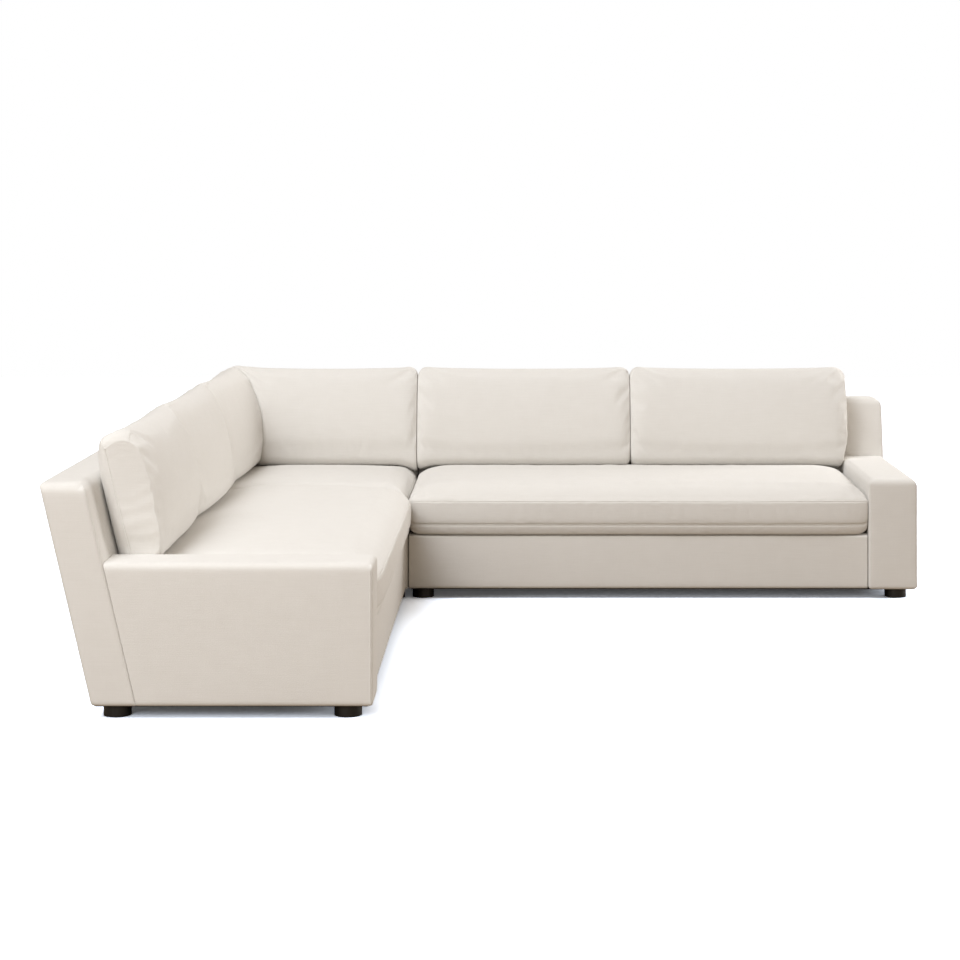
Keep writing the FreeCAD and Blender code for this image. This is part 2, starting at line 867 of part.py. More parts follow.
def seat_section(x, front, draw, pressed=False):
    """Flat underneath, with a boxed front band, a rounded nose, a crowned top and a slope at the rear.

    A pressed front is flat, because the next cushion stands against it.
    """
    rear_gap = dim.rest_gap
    drop = dim.seat_top_draw * draw
    nose = front + dim.seat_front_draw * draw
    rear_top_z = seat_rear_top - drop
    heel = point(x, back_face(seat_base) - rear_gap, seat_base)
    toe = point(x, nose + dim.seat_toe, seat_base)
    lower_seam = point(x, nose, dim.deck_height + dim.seat_lower_seam)
    upper_seam = point(x, nose, dim.deck_height + dim.seat_upper_seam - drop * DRAWN_SEAM_SHARE)
    brow = point(x, nose + dim.seat_nose_run, dim.deck_height + dim.seat_nose_height - drop)
    rest = point(x, back_face(seat_rear_top) - cushion_reach, rear_top_z + cushion_rise)
    rear = point(x, back_face(rear_top_z) - rear_gap, rear_top_z)
    toe_bulge = dim.seat_toe.value * QUARTER_ROUND_SHARE
    band_bulge = dim.seat_band_bulge.value * (1 - draw * DRAWN_BULGE_SHARE)
    band = straight(lower_seam, upper_seam) if pressed else bulged(lower_seam, upper_seam, band_bulge)
    return Part.Wire(
        [
            straight(heel, toe),
            bulged(toe, lower_seam, toe_bulge),
            band,
            bulged(upper_seam, brow, dim.seat_nose_bulge.value),
            bulged(brow, rest, dim.seat_crown_bulge.value),
            straight(rest, rear),
            straight(rear, heel),
        ]
    )


def drawn(distance, run):
    """How far a form has drawn in at a distance from its end, by an ellipse: 1 there, 0 past the run."""
    share = min(distance.value / run.value, 1.0)
    return 1 - math.sqrt(share * (2 - share))


def near_end(low, run):
    """Places from a cushion's low end inwards, each with its distance from that end."""
    return [(low + run * share, run * share) for share in STATION_SHARES]


def far_end(high, run):
    return [(high - run * share, run * share) for share in reversed(STATION_SHARES)]


def lofted(name, wires):
    made = doc.addObject("Part::Feature", name)
    made.Shape = Part.makeLoft(wires, True, True)
    made.Placement = FreeCAD.Placement()
    return made


def filled(name, cushion, core_name, x, y):
    """A seat cushion with a foam core in its cavity. Returns the cover and the core."""
    gap = dim.core_gap
    base = dim.deck_height + dim.core_lift
    z = (base, base + dim.core_thickness)
    grown = [(span[0] - gap, span[1] + gap) for span in (x, y, z)]
    return cut(name, cushion, [box(f"{name}_hollow", *grown)]), box(core_name, x, y, z)


def sofa_seat_cushion():
    low = dim.side_gap - inner
    high = arm_inside - dim.side_gap
    front = inner - dim.seat_lip
    run = dim.seat_end_run
    places = near_end(low, run) + far_end(high, run)
    wires = [seat_section(x, front, drawn(distance, run)) for x, distance in places]
    cushion = lofted("sofa_seat_form", wires)
    inset = dim.core_inset
    rear = back_face(dim.deck_height) - inset
    core_x = (low + inset, high - inset)
    return filled("sofa_seat_cover", cushion, "sofa_seat_core", core_x, (inner + inset, rear))


def corner_seat_cushion():
    """The same section run right across the corner unit, shared with its own mirror image."""
    front = inner + dim.side_gap
    low = -half
    high = -inner - dim.side_gap
    run = doc.addObject("Part::Feature", "corner_seat_run")
    section = seat_section(low, front, 0, pressed=True)
    run.Shape = Part.Face(section).extrude(FreeCAD.Vector((high - low).value, 0, 0))
    run.Placement = FreeCAD.Placement()
    form = doc.addObject("Part::Common", "corner_seat_form")
    form.Base = run
    form.Tool = mirrored("corner_seat_run_mirror", run)
    inset = dim.core_inset
    rear = back_face(dim.deck_height) - inset
    core_y = (inner + inset, rear)
    core_x = (-rear, -inner - inset)
    return filled("corner_seat_cover", form, "corner_seat_core", core_x, core_y)


# Back cushions: a section across the rake at a place on X


def rake_frame(x, forward, rise):
    """A point by how far it stands off the back's face, and how far up the rake from the seat it is."""
    origin_y = back_face(seat_rear_top).value
    origin_z = seat_rear_top.value + dim.rest_gap.value / math.cos(rake_angle)
    y = origin_y - forward * math.cos(rake_angle) + rise * math.sin(rake_angle)
    z = origin_z + forward * math.sin(rake_angle) + rise * math.cos(rake_angle)
    return FreeCAD.Vector(value_of(x), y, z)


def back_section(x, distance):
    """Flat below, with a full belly in front and a softly rounded top.

    Both large panels draw in towards the boxed ends, the rear one most.
    """
    draw = drawn(distance, dim.cushion_end_run)
    front_draw = dim.cushion_front_draw.value * draw
    thick = dim.cushion_thickness.value - front_draw
    top_thick = dim.cushion_top_thickness.value - front_draw * DRAWN_TOP_SHARE
    foot_rise = dim.cushion_foot_corner.value * drawn(distance, dim.cushion_foot_corner)
    top_drop = dim.cushion_top_corner.value * drawn(distance, dim.cushion_top_corner)
    top = dim.cushion_height.value - top_drop
    toe_size = dim.cushion_toe.value
    crown = dim.cushion_crown.value
    back = dim.rest_gap.value + dim.cushion_rear_draw.value * draw
    heel = rake_frame(x, back, foot_rise)
    toe = rake_frame(x, thick - toe_size, foot_rise)
    shin = rake_frame(x, thick, foot_rise + toe_size)
    chest = rake_frame(x, top_thick, top - crown)
    peak = rake_frame(x, (top_thick + back) / 2, top)
    nape = rake_frame(x, back, top - crown)
    return Part.Wire(
        [
            straight(heel, toe),
            bulged(toe, shin, toe_size * QUARTER_ROUND_SHARE),
            bulged(shin, chest, dim.cushion_belly.value * (1 - draw * DRAWN_BULGE_SHARE)),
            bulged(chest, peak, crown * CROWN_BULGE_SHARE),
            bulged(peak, nape, crown * CROWN_BULGE_SHARE),
            straight(nape, heel),
        ]
    )


def sofa_back_cushion(name, low, high):
    run = dim.cushion_end_run
    places = near_end(low, run) + far_end(high, run)
    return lofted(name, [back_section(x, distance) for x, distance in places])


def corner_back_cushion():
    """The same form, long enough to be cut on the corner plane, where it meets its mirror image."""
    run = dim.cushion_end_run
    places = [(-half, run)] + far_end(-inner - dim.side_gap, run)
    form = lofted("corner_back_form", [back_section(x, distance) for x, distance in places])
    return mitred("corner_back_cushion", form, dim.mitre_gap)


# The upright plane through the corner: what lies on its left side is cut away


def left_of_corner(name, clearance):
    """A block that fills everything to the left of the L's corner plane, and this much over it."""
    reach = dim.unit_width + dim.unit_depth
    made = doc.addObject("Part::Box", name)
    bind(made, {"Length": reach * 2, "Width": reach, "Height": reach})
    shift = clearance / math.sqrt(2) - reach * math.sqrt(2)
    turned = FreeCAD.Rotation(FreeCAD.Vector(0, 0, 1), -45)
    made.Placement = FreeCAD.Placement(FreeCAD.Vector(), turned)
    across_plane = reach / math.sqrt(2)
    offset = clearance / math.sqrt(2)
    place(made, offset - across_plane * 2, offset, -reach / 2)
    return made


def mitred(name, piece, clearance):
    return cut(name, piece, [left_of_corner(f"{name}_corner_plane", clearance)])


# Build the right sofa, and mirror it

right_and_left(sofa_seat_frame(), "seat_frame")
back_inside = (sofa_start + dim.cover_wall, half - dim.cover_wall)
post_places = evenly(*back_inside, dim.post_pitch, dim.rail_thickness)
back_pieces = back_timber("sofa_back", back_inside, post_places, [rear_left_foot, rear_arm_foot])
right_and_left(group("sofa_back_frame", back_pieces), "back_frame")
right_and_left(arm_timber(), "arm_frame")
right_and_left(sofa_seat_webbing(), "seat_webbing")
strap_places = evenly(*back_inside, dim.back_strap_pitch, dim.strap_width)
right_and_left(group("sofa_back_webbing", back_straps("sofa_back_strap", strap_places)), "back_webbing")
deck_z = (strap_top, dim.deck_height)
sofa_deck = raked_block("sofa_deck", (frame_start, arm_inside), upright(frame_front), back_face, deck_z)
right_and_left(sofa_deck, "deck_pad")
right_and_left(front_panel(), "front_panel")
right_and_left(side_panel("sofa_side", (sofa_start, frame_start), frame_front), "side_panel")
right_and_left(arm_cover(), "arm_cover")
right_and_left(back_cover("back_cover_body", (sofa_start, half), open_start=False), "back_cover")
dust_y = (inner + dim.dust_cover_inset, inner + back_toe + dim.back_thickness - dim.dust_cover_inset)
right_and_left(
    dust_cover(
        "sofa_dust_cover",
        (sofa_start + dim.dust_cover_inset, half - dim.dust_cover_inset),
        dust_y,
        sofa_feet,
        tongue_screws,
    ),
    "dust_cover",
)
right_and_left(feet("sofa_feet", sofa_feet), "feet")
right_and_left(bolts("sofa_foot_bolts", sofa_feet), "foot_bolts")
tongues = [tongue_bracket(f"tongue_{n}", y) for n, y in enumerate(bracket_places, start=1)]
right_and_left(group("tongue_brackets", tongues), "hook_tongues")
sofa_screws = [screw(f"tongue_screw_{n}", *spot) for n, spot in enumerate(tongue_screws, start=1)]
right_and_left(group("tongue_screws", sofa_screws), "hook_screws")
seat_cover, seat_core = sofa_seat_cushion()
right_and_left(seat_cover, "seat_cushion")
right_and_left(seat_core, "seat_cushion_core")
cushion_span = (arm_inside + inner) / BACK_CUSHIONS_PER_SOFA
for n, side in enumerate(("inner", "outer")):
    low = cushion_span * n - inner
    cushion = sofa_back_cushion(f"{side}_back_form", low + dim.side_gap, low + cushion_span - dim.side_gap)
    right_and_left(cushion, f"{side}_back_cushion")

# Build the corner unit

corner_feet_places = [
    (corner_end - dim.foot_side_inset, corner_front + dim.foot_side_inset),
    (corner_end - dim.foot_side_inset, rear_foot_y),
    (-rear_foot_y, corner_front + dim.foot_side_inset),
    (-rear_foot_y, rear_foot_y),
]


def within_left_wall(name, run, bound_front, z):
    """What is left of a piece that runs along X when the left wall's raked face stops it."""
    made = doc.addObject("Part::Common", name)
    made.Base = run
    bound = raked_block(f"{name}_bound", (-half, half), upright(-half), bound_front, z)
    made.Tool = mirrored(f"{name}_limit", bound)
    return made


def corner_seat_frame():
    """Front and end rails, and two raked rails that meet on a mitre in the outer corner."""
    rail = dim.rail_thickness
    panel = dim.side_panel_thickness
    side = dim.corner_block_side
    end = corner_end - panel
    front = corner_front + panel
    low = (dim.floor_gap, rail_top)
    tall = (dim.floor_gap, long_strap_base)
    block = (dim.floor_gap, dim.floor_gap + dim.corner_block_height)
    rail_front = behind_face(-rail)
    block_front = behind_face(-rail - side)
    rear_run = raked_block("corner_rear_run", (-half, end), rail_front, back_face, low)
    rear_rail = mitred("corner_rear_rail", rear_run, ZERO)
    left_run = raked_block("corner_left_run", (-half, end), rail_front, back_face, tall)
    left_rail = mirrored("corner_left_rail", mitred("corner_left_rail_source", left_run, ZERO))
    end_rail = raked_block("corner_end_rail", (end - rail, end), upright(front + rail), rail_front, tall)
    front_run = box("corner_front_run", (-half, end), (front, front + rail), low)
    front_rail = within_left_wall("corner_front_rail", front_run, rail_front, low)
    inner_y = (front + rail, front + rail + side)
    inner_block = box("corner_inner_block", (end - rail - side, end - rail), inner_y, block)
    outer_x = (-half, side - block_front(dim.floor_gap))
    outer_run = raked_block("corner_outer_run", outer_x, block_front, rail_front, block)
    outer_block = within_left_wall("corner_outer_block", outer_run, rail_front, block)
    screws = [screw_hole(f"corner_rail_screw_{n}", *spot) for n, spot in enumerate(socket_screws, start=1)]
    front_screws = [
        screw_hole(f"corner_front_screw_{n}", -y, -x) for n, (x, y) in enumerate(socket_screws, start=1)
    ]
    return group(
        "corner_seat_timber",
        [
            rear_rail,
            left_rail,
            cut("corner_end_rail_drilled", end_rail, screws),
            cut("corner_front_rail_drilled", front_rail, front_screws),
            drilled(inner_block, [corner_feet_places[0]]),
            outer_block,
        ],
    )


def corner_seat_webbing():
    """Straps both ways across the square, the second set over the first."""
    width = dim.strap_width
    rail = dim.rail_thickness
    end = corner_end - dim.side_panel_thickness
    front = corner_front + dim.side_panel_thickness
    rear = back_face(rail_top) - rail
    low = (rail_top, long_strap_base)
    high = (long_strap_base, strap_top)
    pieces = straps(
        "corner_strap",
        evenly(rail - rear, end - rail, dim.strap_pitch, width),
        lambda start: (start, start + width),
        upright(front),
        back_face,
        low,
    )
    for n, y in enumerate(evenly(front + rail, rear - rail, dim.long_strap_pitch, width), start=1):
        run = box(f"corner_long_run_{n}", (-half, end), (y, y + width), high)
        pieces.append(within_left_wall(f"corner_long_strap_{n}", run, back_face, high))
    return group("corner_seat_straps", pieces)


def corner_deck():
    """A pad over the webbing, bounded by the two raked walls."""
    z = (strap_top, dim.deck_height)
    end = corner_end - dim.side_panel_thickness
    front = corner_front + dim.side_panel_thickness
    run = raked_block("corner_deck_run", (-half, end), upright(front), back_face, z)
    return within_left_wall("corner_deck", run, back_face, z)


def corner_side_panels():
    """The two flat sides that face the sofas. The front one stops at the end one."""
    panel = dim.side_panel_thickness
    z = (dim.floor_gap, dim.deck_height)
    end_panel = side_panel("corner_end_panel", (corner_end - panel, corner_end), corner_front)
    run = box("corner_front_panel_run", (-half, corner_end - panel), (corner_front, corner_front + panel), z)
    return group("corner_sides", [end_panel, within_left_wall("corner_front_panel", run, back_face, z)])


corner_x = (-half - dim.cover_wall, corner_end)
keep(corner_seat_frame(), "corner_seat_frame")
corner_inside = (-half, corner_end - dim.cover_wall)
corner_posts = evenly(-back_face(dim.floor_gap), corner_inside[1], dim.post_pitch, dim.rail_thickness)
wall_timber = back_timber("corner_wall", corner_inside, corner_posts, [corner_feet_places[1]])
wall_pieces = [
    mitred("corner_wall_foot", wall_timber[0], ZERO),
    mitred("corner_wall_top", wall_timber[1], ZERO),
    *wall_timber[2:],
]
outer_foot_hole = bolt_hole("corner_outer_bolt", *corner_feet_places[3])
wall_pieces[0] = cut("corner_wall_foot_drilled", wall_pieces[0], [outer_foot_hole])
wall_mirrors = [mirrored(f"corner_left_wall_{n}", piece) for n, piece in enumerate(wall_pieces, start=1)]
keep(group("corner_wall_timber", wall_pieces + wall_mirrors), "corner_back_frame")
keep(corner_seat_webbing(), "corner_seat_webbing")
corner_strap_places = evenly(
    -back_face(dim.floor_gap), corner_inside[1], dim.back_strap_pitch, dim.strap_width
)
wall_straps = back_straps("corner_wall_strap", corner_strap_places)
wall_strap_mirrors = [
    mirrored(f"corner_left_strap_{n}", piece) for n, piece in enumerate(wall_straps, start=1)
]
keep(group("corner_wall_straps", wall_straps + wall_strap_mirrors), "corner_back_webbing")
keep(corner_deck(), "corner_deck_pad")
keep(corner_side_panels(), "corner_side_panels")
wall_cover = mitred("corner_wall_cover", back_cover("corner_cover_body", corner_x, open_start=True), ZERO)
keep(wall_cover, "corner_right_back_cover")
keep(mirrored("corner_wall_cover_mirror", wall_cover), "corner_left_back_cover")
corner_dust_x = (-dust_y[1], corner_end - dim.dust_cover_inset)
corner_dust_y = (corner_front + dim.dust_cover_inset, dust_y[1])
corner_screws = socket_screws + [(-y, -x) for x, y in socket_screws]
keep(
    dust_cover("corner_dust_cloth", corner_dust_x, corner_dust_y, corner_feet_places, corner_screws),
    "corner_dust_cover",
)
keep(feet("corner_foot_group", corner_feet_places), "corner_feet")
keep(bolts("corner_bolt_group", corner_feet_places), "corner_foot_bolts")
sockets = [socket_bracket(f"socket_{n}", y) for n, y in enumerate(bracket_places, start=1)]
socket_mirrors = [mirrored(f"left_socket_{n}", piece) for n, piece in enumerate(sockets, start=1)]
keep(group("socket_brackets", sockets + socket_mirrors), "corner_hook_sockets")
corner_screw_pieces = [screw(f"socket_screw_{n}", *spot) for n, spot in enumerate(corner_screws, start=1)]
keep(group("socket_screws", corner_screw_pieces), "corner_hook_screws")
corner_cover, corner_core = corner_seat_cushion()
keep(corner_cover, "corner_seat_cushion")
keep(corner_core, "corner_seat_cushion_core")
corner_back = corner_back_cushion()
keep(corner_back, "corner_right_back_cushion")
keep(mirrored("corner_back_cushion_mirror", corner_back), "corner_left_back_cushion")

# Check and write

doc.recompute()
troubled = [thing.Label for thing in doc.Objects if {"Invalid", "Error"} & set(thing.State)]
if troubled:
    raise RuntimeError(f"these objects did not build: {troubled}")
for thing in sub_parts:
    if thing.Shape.isNull() or not thing.Shape.isValid() or not thing.Shape.Solids:
        raise RuntimeError(f"{thing.Label} has no valid solid")
os.makedirs(NODES_FOLDER, exist_ok=True)
for thing in sub_parts:
    thing.Shape.exportStep(os.path.join(NODES_FOLDER, f"{thing.Label}.step"))
print(f"{len(sub_parts)} sub-parts written")
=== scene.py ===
# %% [markdown]
# # A corner sofa in woven cloth
#
# The real object is an L of three units: a square corner unit, and a sofa with one arm on each side of
# it. Timber, webbing and foam carry it, and what shows is an off-white woven cloth and the black feet.
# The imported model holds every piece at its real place, so this lesson only gives each piece its soft
# form and its finish, in the same frame and in metres.

import json
import math

import bmesh
import bpy
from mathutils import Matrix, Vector, noise


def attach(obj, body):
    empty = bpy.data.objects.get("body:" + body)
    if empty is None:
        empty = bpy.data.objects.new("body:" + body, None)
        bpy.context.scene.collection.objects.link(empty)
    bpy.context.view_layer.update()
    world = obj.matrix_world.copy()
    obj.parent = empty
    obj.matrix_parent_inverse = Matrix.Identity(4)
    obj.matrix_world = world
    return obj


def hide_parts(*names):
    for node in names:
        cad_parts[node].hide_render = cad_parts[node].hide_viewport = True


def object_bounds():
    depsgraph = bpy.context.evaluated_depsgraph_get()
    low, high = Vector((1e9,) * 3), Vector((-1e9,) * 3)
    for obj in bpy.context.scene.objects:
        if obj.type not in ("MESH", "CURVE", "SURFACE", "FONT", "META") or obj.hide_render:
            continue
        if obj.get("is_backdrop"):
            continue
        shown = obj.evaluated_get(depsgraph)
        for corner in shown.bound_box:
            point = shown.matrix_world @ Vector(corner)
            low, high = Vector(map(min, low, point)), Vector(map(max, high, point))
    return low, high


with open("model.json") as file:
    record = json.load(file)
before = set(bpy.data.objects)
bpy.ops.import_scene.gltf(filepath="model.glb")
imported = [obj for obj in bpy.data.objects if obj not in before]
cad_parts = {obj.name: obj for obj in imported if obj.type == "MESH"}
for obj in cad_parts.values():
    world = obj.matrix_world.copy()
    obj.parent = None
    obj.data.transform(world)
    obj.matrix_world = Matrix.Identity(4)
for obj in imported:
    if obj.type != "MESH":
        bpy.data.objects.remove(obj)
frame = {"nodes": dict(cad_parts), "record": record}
cad_low, cad_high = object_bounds()
scene = bpy.context.scene
scene.view_settings.view_transform = "Standard"
print("the packed model is", [round(side, 3) for side in cad_high - cad_low], "m")

# %% [markdown]
# ## The camera
#
# The picture has upright edges that stay upright, so its camera was level and its film was shifted.
# All lines that run straight away from the camera meet at one point of the picture, and the shift puts
# that point where it is. The camera stands in front of the L, a little left of its middle.

# %% The camera
PICTURE_SIDE = 960
FOCAL_PIXELS = 2178
VANISHING_POINT = (530, 204)
EYE = Vector((-0.0230, -9.2105, 1.776))

camera = bpy.data.objects.new("camera", bpy.data.cameras.new("camera"))
camera.location = EYE
camera.rotation_euler = (math.radians(90), 0, 0)
camera.data.sensor_width = 36
camera.data.lens = camera.data.sensor_width * FOCAL_PIXELS / PICTURE_SIDE
camera.data.shift_x = 0.5 - VANISHING_POINT[0] / PICTURE_SIDE
camera.data.shift_y = VANISHING_POINT[1] / PICTURE_SIDE - 0.5
camera.data.dof.use_dof = False
scene.collection.objects.link(camera)
scene.camera = camera
print("lens", round(camera.data.lens, 2), "mm")

# %% [markdown]
# ## Shader maths
#
# A finish is a handful of nodes. Wrapped in a small class, an output of a node can be added and
# multiplied like a number, and each sum puts in the Math node that works it out.


# %% Sockets that can be added and multiplied
class Socket:
    """One output of a node."""

    def __init__(self, finish, out):
        self.finish = finish
        self.out = out

    def maths(self, operation, first, second=0.0):
        return self.finish.node("ShaderNodeMath", {0: first, 1: second}, operation=operation)

    def __add__(self, other):
        return self.maths("ADD", self, other)

    def __sub__(self, other):
        return self.maths("SUBTRACT", self, other)

    def __rsub__(self, other):
        return self.maths("SUBTRACT", other, self)

    def __mul__(self, other):
        return self.maths("MULTIPLY", self, other)

    __radd__ = __add__
    __rmul__ = __mul__

    def sine(self):
        return self.maths("SINE", self)


class Finish:
    """A set of nodes, of a material or of the world, filled in node by node."""

    def __init__(self, owner):
        owner.use_nodes = True
        self.owner = owner
        self.tree = owner.node_tree

    def node(self, kind, inputs, output=0, **settings):
        made = self.tree.nodes.new(kind)
        for name, value in settings.items():
            setattr(made, name, value)
        for name, value in inputs.items():
            if isinstance(value, Socket):
                self.tree.links.new(value.out, made.inputs[name])
            else:
                made.inputs[name].default_value = value
        return Socket(self, made.outputs[output])

    def feed(self, node_name, socket_name, value):
        self.tree.links.new(value.out, self.tree.nodes[node_name].inputs[socket_name])


def plain_finish(name, **constants):
    """A material whose shader has these constant values."""
    finish = Finish(bpy.data.materials.new(name))
    for socket_name, value in constants.items():
        finish.tree.nodes["Principled BSDF"].inputs[socket_name.replace("_", " ")].default_value = value
    return finish


# The Mix node has sockets for numbers, vectors and colours under the same names, so these are by place.
MIX_SHARE, MIX_FIRST, MIX_SECOND, MIX_COLOUR = 0, 6, 7, 2


def colour_between(finish, first, second, share):
    """A colour between two, by a socket that runs from 0 to 1."""
    ends = {MIX_SHARE: share, MIX_FIRST: (*first, 1), MIX_SECOND: (*second, 1)}
    return finish.node("ShaderNodeMix", ends, MIX_COLOUR, data_type="RGBA")


def coloured(finish, dark, light, share):
    """Feeds the shader a colour between two."""
    finish.feed("Principled BSDF", "Base Color", colour_between(finish, dark, light, share))


def bumped(finish, height, depth, strength):
    """Feeds the shader a relief: its deepest part is this many metres deep."""
    bump = finish.node("ShaderNodeBump", {"Height": height, "Distance": depth, "Strength": strength})
    finish.feed("Principled BSDF", "Normal", bump)


def place_on(finish, kind="Object"):
    """The place that a pattern follows, in metres: in the piece itself, or on its flat map ("UV")."""
    return finish.node("ShaderNodeTexCoord", {}, kind)


def stretched(finish, place, scale):
    """A place with each of its three numbers multiplied."""
    return finish.node("ShaderNodeMapping", {"Vector": place, "Scale": scale})


def parts_of(finish, place):
    """The three numbers of a place, as sockets."""
    split = finish.node("ShaderNodeSeparateXYZ", {0: place})
    return [Socket(finish, out) for out in split.out.node.outputs]


def noise_of(finish, place, scale, detail=3.0):
    """A smooth noise from 0 to 1, with its own number of lumps for each metre along each axis."""
    lumps = {"Vector": stretched(finish, place, scale), "Scale": 1.0, "Detail": detail}
    return finish.node("ShaderNodeTexNoise", lumps)


# %% [markdown]
# ## Light and floor
#
# The picture was taken in a white studio, under a wide soft light from above and in front. A warm
# white world fills the shadows from all sides. One very large lamp, high in front on the left, gives
# the tops and the fronts their light, and two weak ones help it: one far off on the right lights the
# left sofa's cushions, and one in front lights the near arm. The floor looks white to the camera
# wherever light reaches it, so only the shadow below the sofa shows, and a faint glow that only the
# camera sees keeps that shadow grey.

# %% Light and floor
WORLD_STRENGTH = 0.435
WORLD_TINT = (1.0, 0.88, 0.75)
WHITE, BLACK = (1.0, 1.0, 1.0), (0.0, 0.0, 0.0)
GLOSSY_SHARE = 0.3
FLOOR_SIDE = 26.0
FLOOR_TRUE, FLOOR_SEEN = (0.23, 0.17, 0.11), (2.2, 2.45, 2.85)
FLOOR_GLOW = (0.050, 0.051, 0.052)

world = bpy.data.worlds.new("studio")
scene.world = world
sky = Finish(world)
seen = sky.node("ShaderNodeLightPath", {}, "Is Camera Ray")
shine = sky.node("ShaderNodeLightPath", {}, "Is Glossy Ray")
sky.feed("Background", "Strength", seen * (1 - WORLD_STRENGTH) + shine * GLOSSY_SHARE + WORLD_STRENGTH)
sky.feed("Background", "Color", colour_between(sky, WORLD_TINT, WHITE, seen))


def soft_lamp(name, place, aim, side, watts, colour=WHITE):
    """A square lamp that shines from a place at an aim."""
    lamp = bpy.data.objects.new(name, bpy.data.lights.new(name, "AREA"))
    lamp.data.shape = "SQUARE"
    lamp.data.size = side
    lamp.data.energy = watts
    lamp.data.color = colour
    lamp.location = place
    lamp.rotation_euler = (Vector(aim) - Vector(place)).to_track_quat("-Z", "Y").to_euler()
    scene.collection.objects.link(lamp)


KEY_TINT = (0.955, 0.992, 1.045)
soft_lamp("key_lamp", place=(-8.2, -10.8, 21.2), aim=(-0.1, 0.3, 0.4), side=13.0, watts=4260, colour=KEY_TINT)
soft_lamp("side_lamp", place=(8.1, 3.8, 2.75), aim=(-1.0, -0.2, 0.6), side=3.0, watts=510)
soft_lamp("near_lamp", place=(-2.6, -6.0, 2.4), aim=(-1.2, -1.0, 0.4), side=2.0, watts=82)

floor_finish = plain_finish("studio_floor", Roughness=1.0, Emission_Strength=1.0)
camera_share = floor_finish.node("ShaderNodeLightPath", {}, "Is Camera Ray")
coloured(floor_finish, FLOOR_TRUE, FLOOR_SEEN, camera_share)
floor_glow = colour_between(floor_finish, BLACK, FLOOR_GLOW, camera_share)
floor_finish.feed("Principled BSDF", "Emission Color", floor_glow)
floor_mesh = bpy.data.meshes.new("floor")
bm = bmesh.new()
bmesh.ops.create_grid(bm, x_segments=1, y_segments=1, size=FLOOR_SIDE / 2)
bm.to_mesh(floor_mesh)
bm.free()
floor_mesh.materials.append(floor_finish.owner)
floor = bpy.data.objects.new("floor", floor_mesh)
scene.collection.objects.link(floor)
floor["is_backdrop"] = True

# %% [markdown]
# ## The cloth
#
# The cover is a flat weave of thick and thin yarns. Two sine waves multiplied give the small bumps
# where one yarn passes over the other. Long thin noise along and across gives the slubs, which are
# thicker stretches of yarn, and a wide faint noise keeps large areas from looking printed.
# The pattern follows a flat map of each piece, laid out in metres.

# %% The cloth
YARNS_PER_METRE = 700
CLOTH_LIGHT = (0.820, 0.800, 0.765)
CLOTH_DARK = (0.640, 0.610, 0.562)
# Lumps in each metre, along each axis of the flat map.
WEFT_SLUBS = (9, 260, 9)
WARP_SLUBS = (320, 14, 14)
MOTTLE = (16, 16, 16)
CLOUDS = (2.2, 2.2, 2.2)


def cloth_finish(name, dark, light, on_flat_map):
    """A woven cloth. Thin welts have no flat map, so there it follows the place in the piece."""
    finish = plain_finish(name, Roughness=0.92, Sheen_Weight=0.18, Sheen_Roughness=0.5)
    place = place_on(finish, "UV") if on_flat_map else place_on(finish)
    across, along, _ = parts_of(finish, stretched(finish, place, (YARNS_PER_METRE,) * 3))
    weave = (across * math.pi).sine() * (along * math.pi).sine()
    weft_slubs = noise_of(finish, place, WEFT_SLUBS)
    warp_slubs = noise_of(finish, place, WARP_SLUBS)
    mottle = noise_of(finish, place, MOTTLE, detail=4.0)
    cloudy = noise_of(finish, place, CLOUDS, detail=1.0)
    tone = weave * 0.08 + weft_slubs * 0.26 + warp_slubs * 0.14 + mottle * 0.20 + cloudy * 0.10
    coloured(finish, dark, light, tone + 0.40)
    relief = weave * 0.5 + weft_slubs * 0.9 + warp_slubs * 0.5 + mottle * 0.6
    bumped(finish, relief, depth=0.0009, strength=0.55)
    return finish.owner


cover_cloth = cloth_finish("cover_cloth", CLOTH_DARK, CLOTH_LIGHT, on_flat_map=True)
welt_cloth = cloth_finish("welt_cloth", CLOTH_DARK, CLOTH_LIGHT, on_flat_map=False)
print("one yarn every", round(1000 / YARNS_PER_METRE, 2), "mm")

# %% [markdown]
# ## Measures
#
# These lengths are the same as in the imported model: where the wings meet, how far the back leans for
# each metre it rises, and how high the deck and the arm are.

# %% Measures
HALF = 1.7145
INNER = 0.5715
UNIT_GAP = 0.004
FLOOR_GAP = 0.045
DECK = 0.290
BACK_TOP = 0.816
BACK_THICKNESS = 0.158
LEAN = 0.236
BACK_TOE = 0.80726
ARM_TOP = 0.540
ARM_INSIDE = HALF - 0.216
ARM_FRONT = INNER - 0.008
SOFA_START = UNIT_GAP / 2 - INNER
CORNER_END = -INNER - UNIT_GAP / 2
REST_GAP = 0.0003
RAKE = math.atan(LEAN)
print("the back leans", round(math.degrees(RAKE), 1), "degrees")


def back_face(z):
    """How far back the leaning back's front face is at a height, on the right sofa."""
    return INNER + BACK_TOE + (z - FLOOR_GAP) * LEAN


# %% [markdown]
# ## From a cube to a soft form
#
# Every padded piece starts as a cube from -1 to 1 that is cut into a grid, close together near the
# edges and wide apart between them. A function then says where each point of that grid goes. The
# grid's lines stay where the seams will be, which a remeshed form would lose.


# %% A cube cut into a grid
def spaced(length, near_steps, far_steps, pitch):
    """Places of cuts from -1 to 1 along a side: at these steps from its two ends, then a pitch apart."""
    start = near_steps[-1] if near_steps else 0.0
    end = far_steps[-1] if far_steps else 0.0
    middle = length - start - end
    count = max(1, round(middle / pitch))
    places = [*near_steps, *(start + middle * n / count for n in range(1, count))]
    places += [length - step for step in reversed(far_steps)]
    return [2 * place / length - 1 for place in places]


